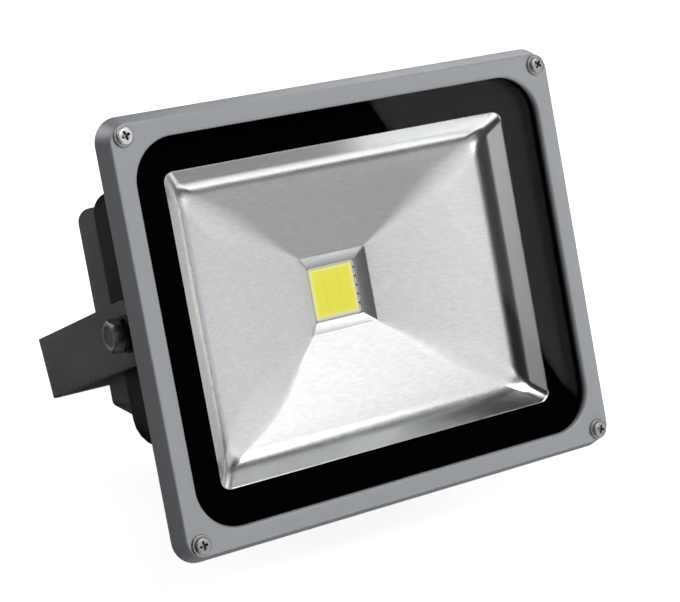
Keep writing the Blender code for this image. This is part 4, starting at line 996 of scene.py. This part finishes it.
def camera():
    """The photograph's camera. Its focal length in pixels becomes millimetres on the sensor."""
    data = bpy.data.cameras.new("camera")
    data.sensor_fit = "HORIZONTAL"
    data.sensor_width = SENSOR
    data.lens = FOCAL_PIXELS * SENSOR / PHOTO_WIDTH
    data.clip_start, data.clip_end = 0.01, 60.0
    item = bpy.data.objects.new("camera", data)
    bpy.context.scene.collection.objects.link(item)
    right, down, forward = CAMERA_AXES @ HEAD_TURN.T
    turned = Matrix(np.stack([right, -down, -forward], -1).tolist())
    item.matrix_world = Matrix.Translation(from_head(CAMERA_IN_HEAD)) @ turned.to_4x4()
    bpy.context.scene.camera = item


# Soft lights: name, place, size across and up, power and roll. All of them face AIM.
AIM = Vector((0.0, 0.0, 0.07))
LIGHTS = (
    ("high front", (0.2, -0.75, 1.6), (1.3, 0.7), 13.8, 0.0),
    ("near right edge", (1.0569, -1.0953, 0.6325), (0.35, 1.2), 2.3, 5.16),
    ("far right", (1.44, -0.74, 0.48), (0.8, 1.0), 1.45, 0.0),
    ("front", (0.31, -1.47, 0.62), (0.45, 0.7), 2.45, 0.0),
    ("left", (-1.27, -0.65, 0.34), (0.4, 0.6), 0.75, 0.0),
    ("low front", (0.70, -1.18, 0.05), (1.0, 0.4), 0.45, 0.0),
    ("below front", (0.30, -0.85, -0.8), (2.0, 0.9), 8.8, 0.0),
    ("low back left", (-0.68, 1.18, -0.56), (1.4, 0.7), 1.05, 0.0),
    ("back left", (-1.0, 1.4, 0.8), (1.2, 1.0), 8.0, 0.0),
    ("back right", (1.2, 1.3, 0.9), (1.2, 1.0), 6.8, 0.0),
)


def soft_light(name, place, size, power, roll):
    """A rectangular light at place, facing AIM and turned by roll degrees about that direction."""
    data = bpy.data.lights.new(name, "AREA")
    data.shape = "RECTANGLE"
    data.size, data.size_y = size
    data.energy = power
    item = bpy.data.objects.new(name, data)
    bpy.context.scene.collection.objects.link(item)
    item.location = place
    facing = (AIM - Vector(place)).to_track_quat("-Z", "Y").to_matrix()
    item.rotation_euler = (facing @ Matrix.Rotation(math.radians(roll), 3, "Z")).to_euler()


AMBIENT, BACKGROUND = 0.004, 1.0


def studio_world():
    """A plain white background to look at, and a dim even light from all round."""
    world = bpy.data.worlds.new("studio")
    world.use_nodes = True
    tree = world.node_tree
    background = tree.nodes["Background"]
    background.inputs["Color"].default_value = (1.0, 1.0, 1.0, 1.0)
    path = add(tree, "LightPath")
    seen = spread(tree, path.outputs["Is Camera Ray"], AMBIENT, BACKGROUND, 0.0, 1.0)
    tree.links.new(seen, background.inputs["Strength"])
    bpy.context.scene.world = world


def stage():
    """The pale floor under the object, the lights round it and the world behind them. The floor
    is only looked at, and throws no light back. It lies low enough for the frame's edge to clear
    it when the head is turned."""
    finish, tree, shader = material("studio floor", (0.90, 0.90, 0.90), 0.8,
                                    Emission_Color=(1.0, 1.0, 1.0, 1.0), Emission_Strength=0.82)
    drift = noise(tree, 1.5, 2.0)
    tree.links.new(ramp(tree, drift, [(0.3, (0.89, 0.89, 0.89)), (0.7, (0.91, 0.91, 0.91))]),
                   shader.inputs["Base Color"])
    mesh = bpy.data.meshes.new("floor")
    reach, level = 12.0, -0.03
    corners = [(sx * reach, sy * reach, level) for sx, sy in ((-1, -1), (1, -1), (1, 1), (-1, 1))]
    mesh.from_pydata(corners, [], [(0, 1, 2, 3)])
    floor = bpy.data.objects.new("floor", mesh)
    mesh.materials.append(finish)
    bpy.context.scene.collection.objects.link(floor)
    floor.visible_diffuse = False
    floor.visible_glossy = False
    floor.visible_transmission = False
    floor.visible_shadow = False
    studio_world()
    for light in LIGHTS:
        soft_light(*light)
    bpy.context.scene.view_settings.view_transform = "Standard"


front_frame()
frame_screws()
glass_and_border()
reflector()
light_source()
heatsink_body()
driver_cover()
cable_gland()
mounting_bracket()
pivots()
dress_kept_nodes()
camera()
stage()
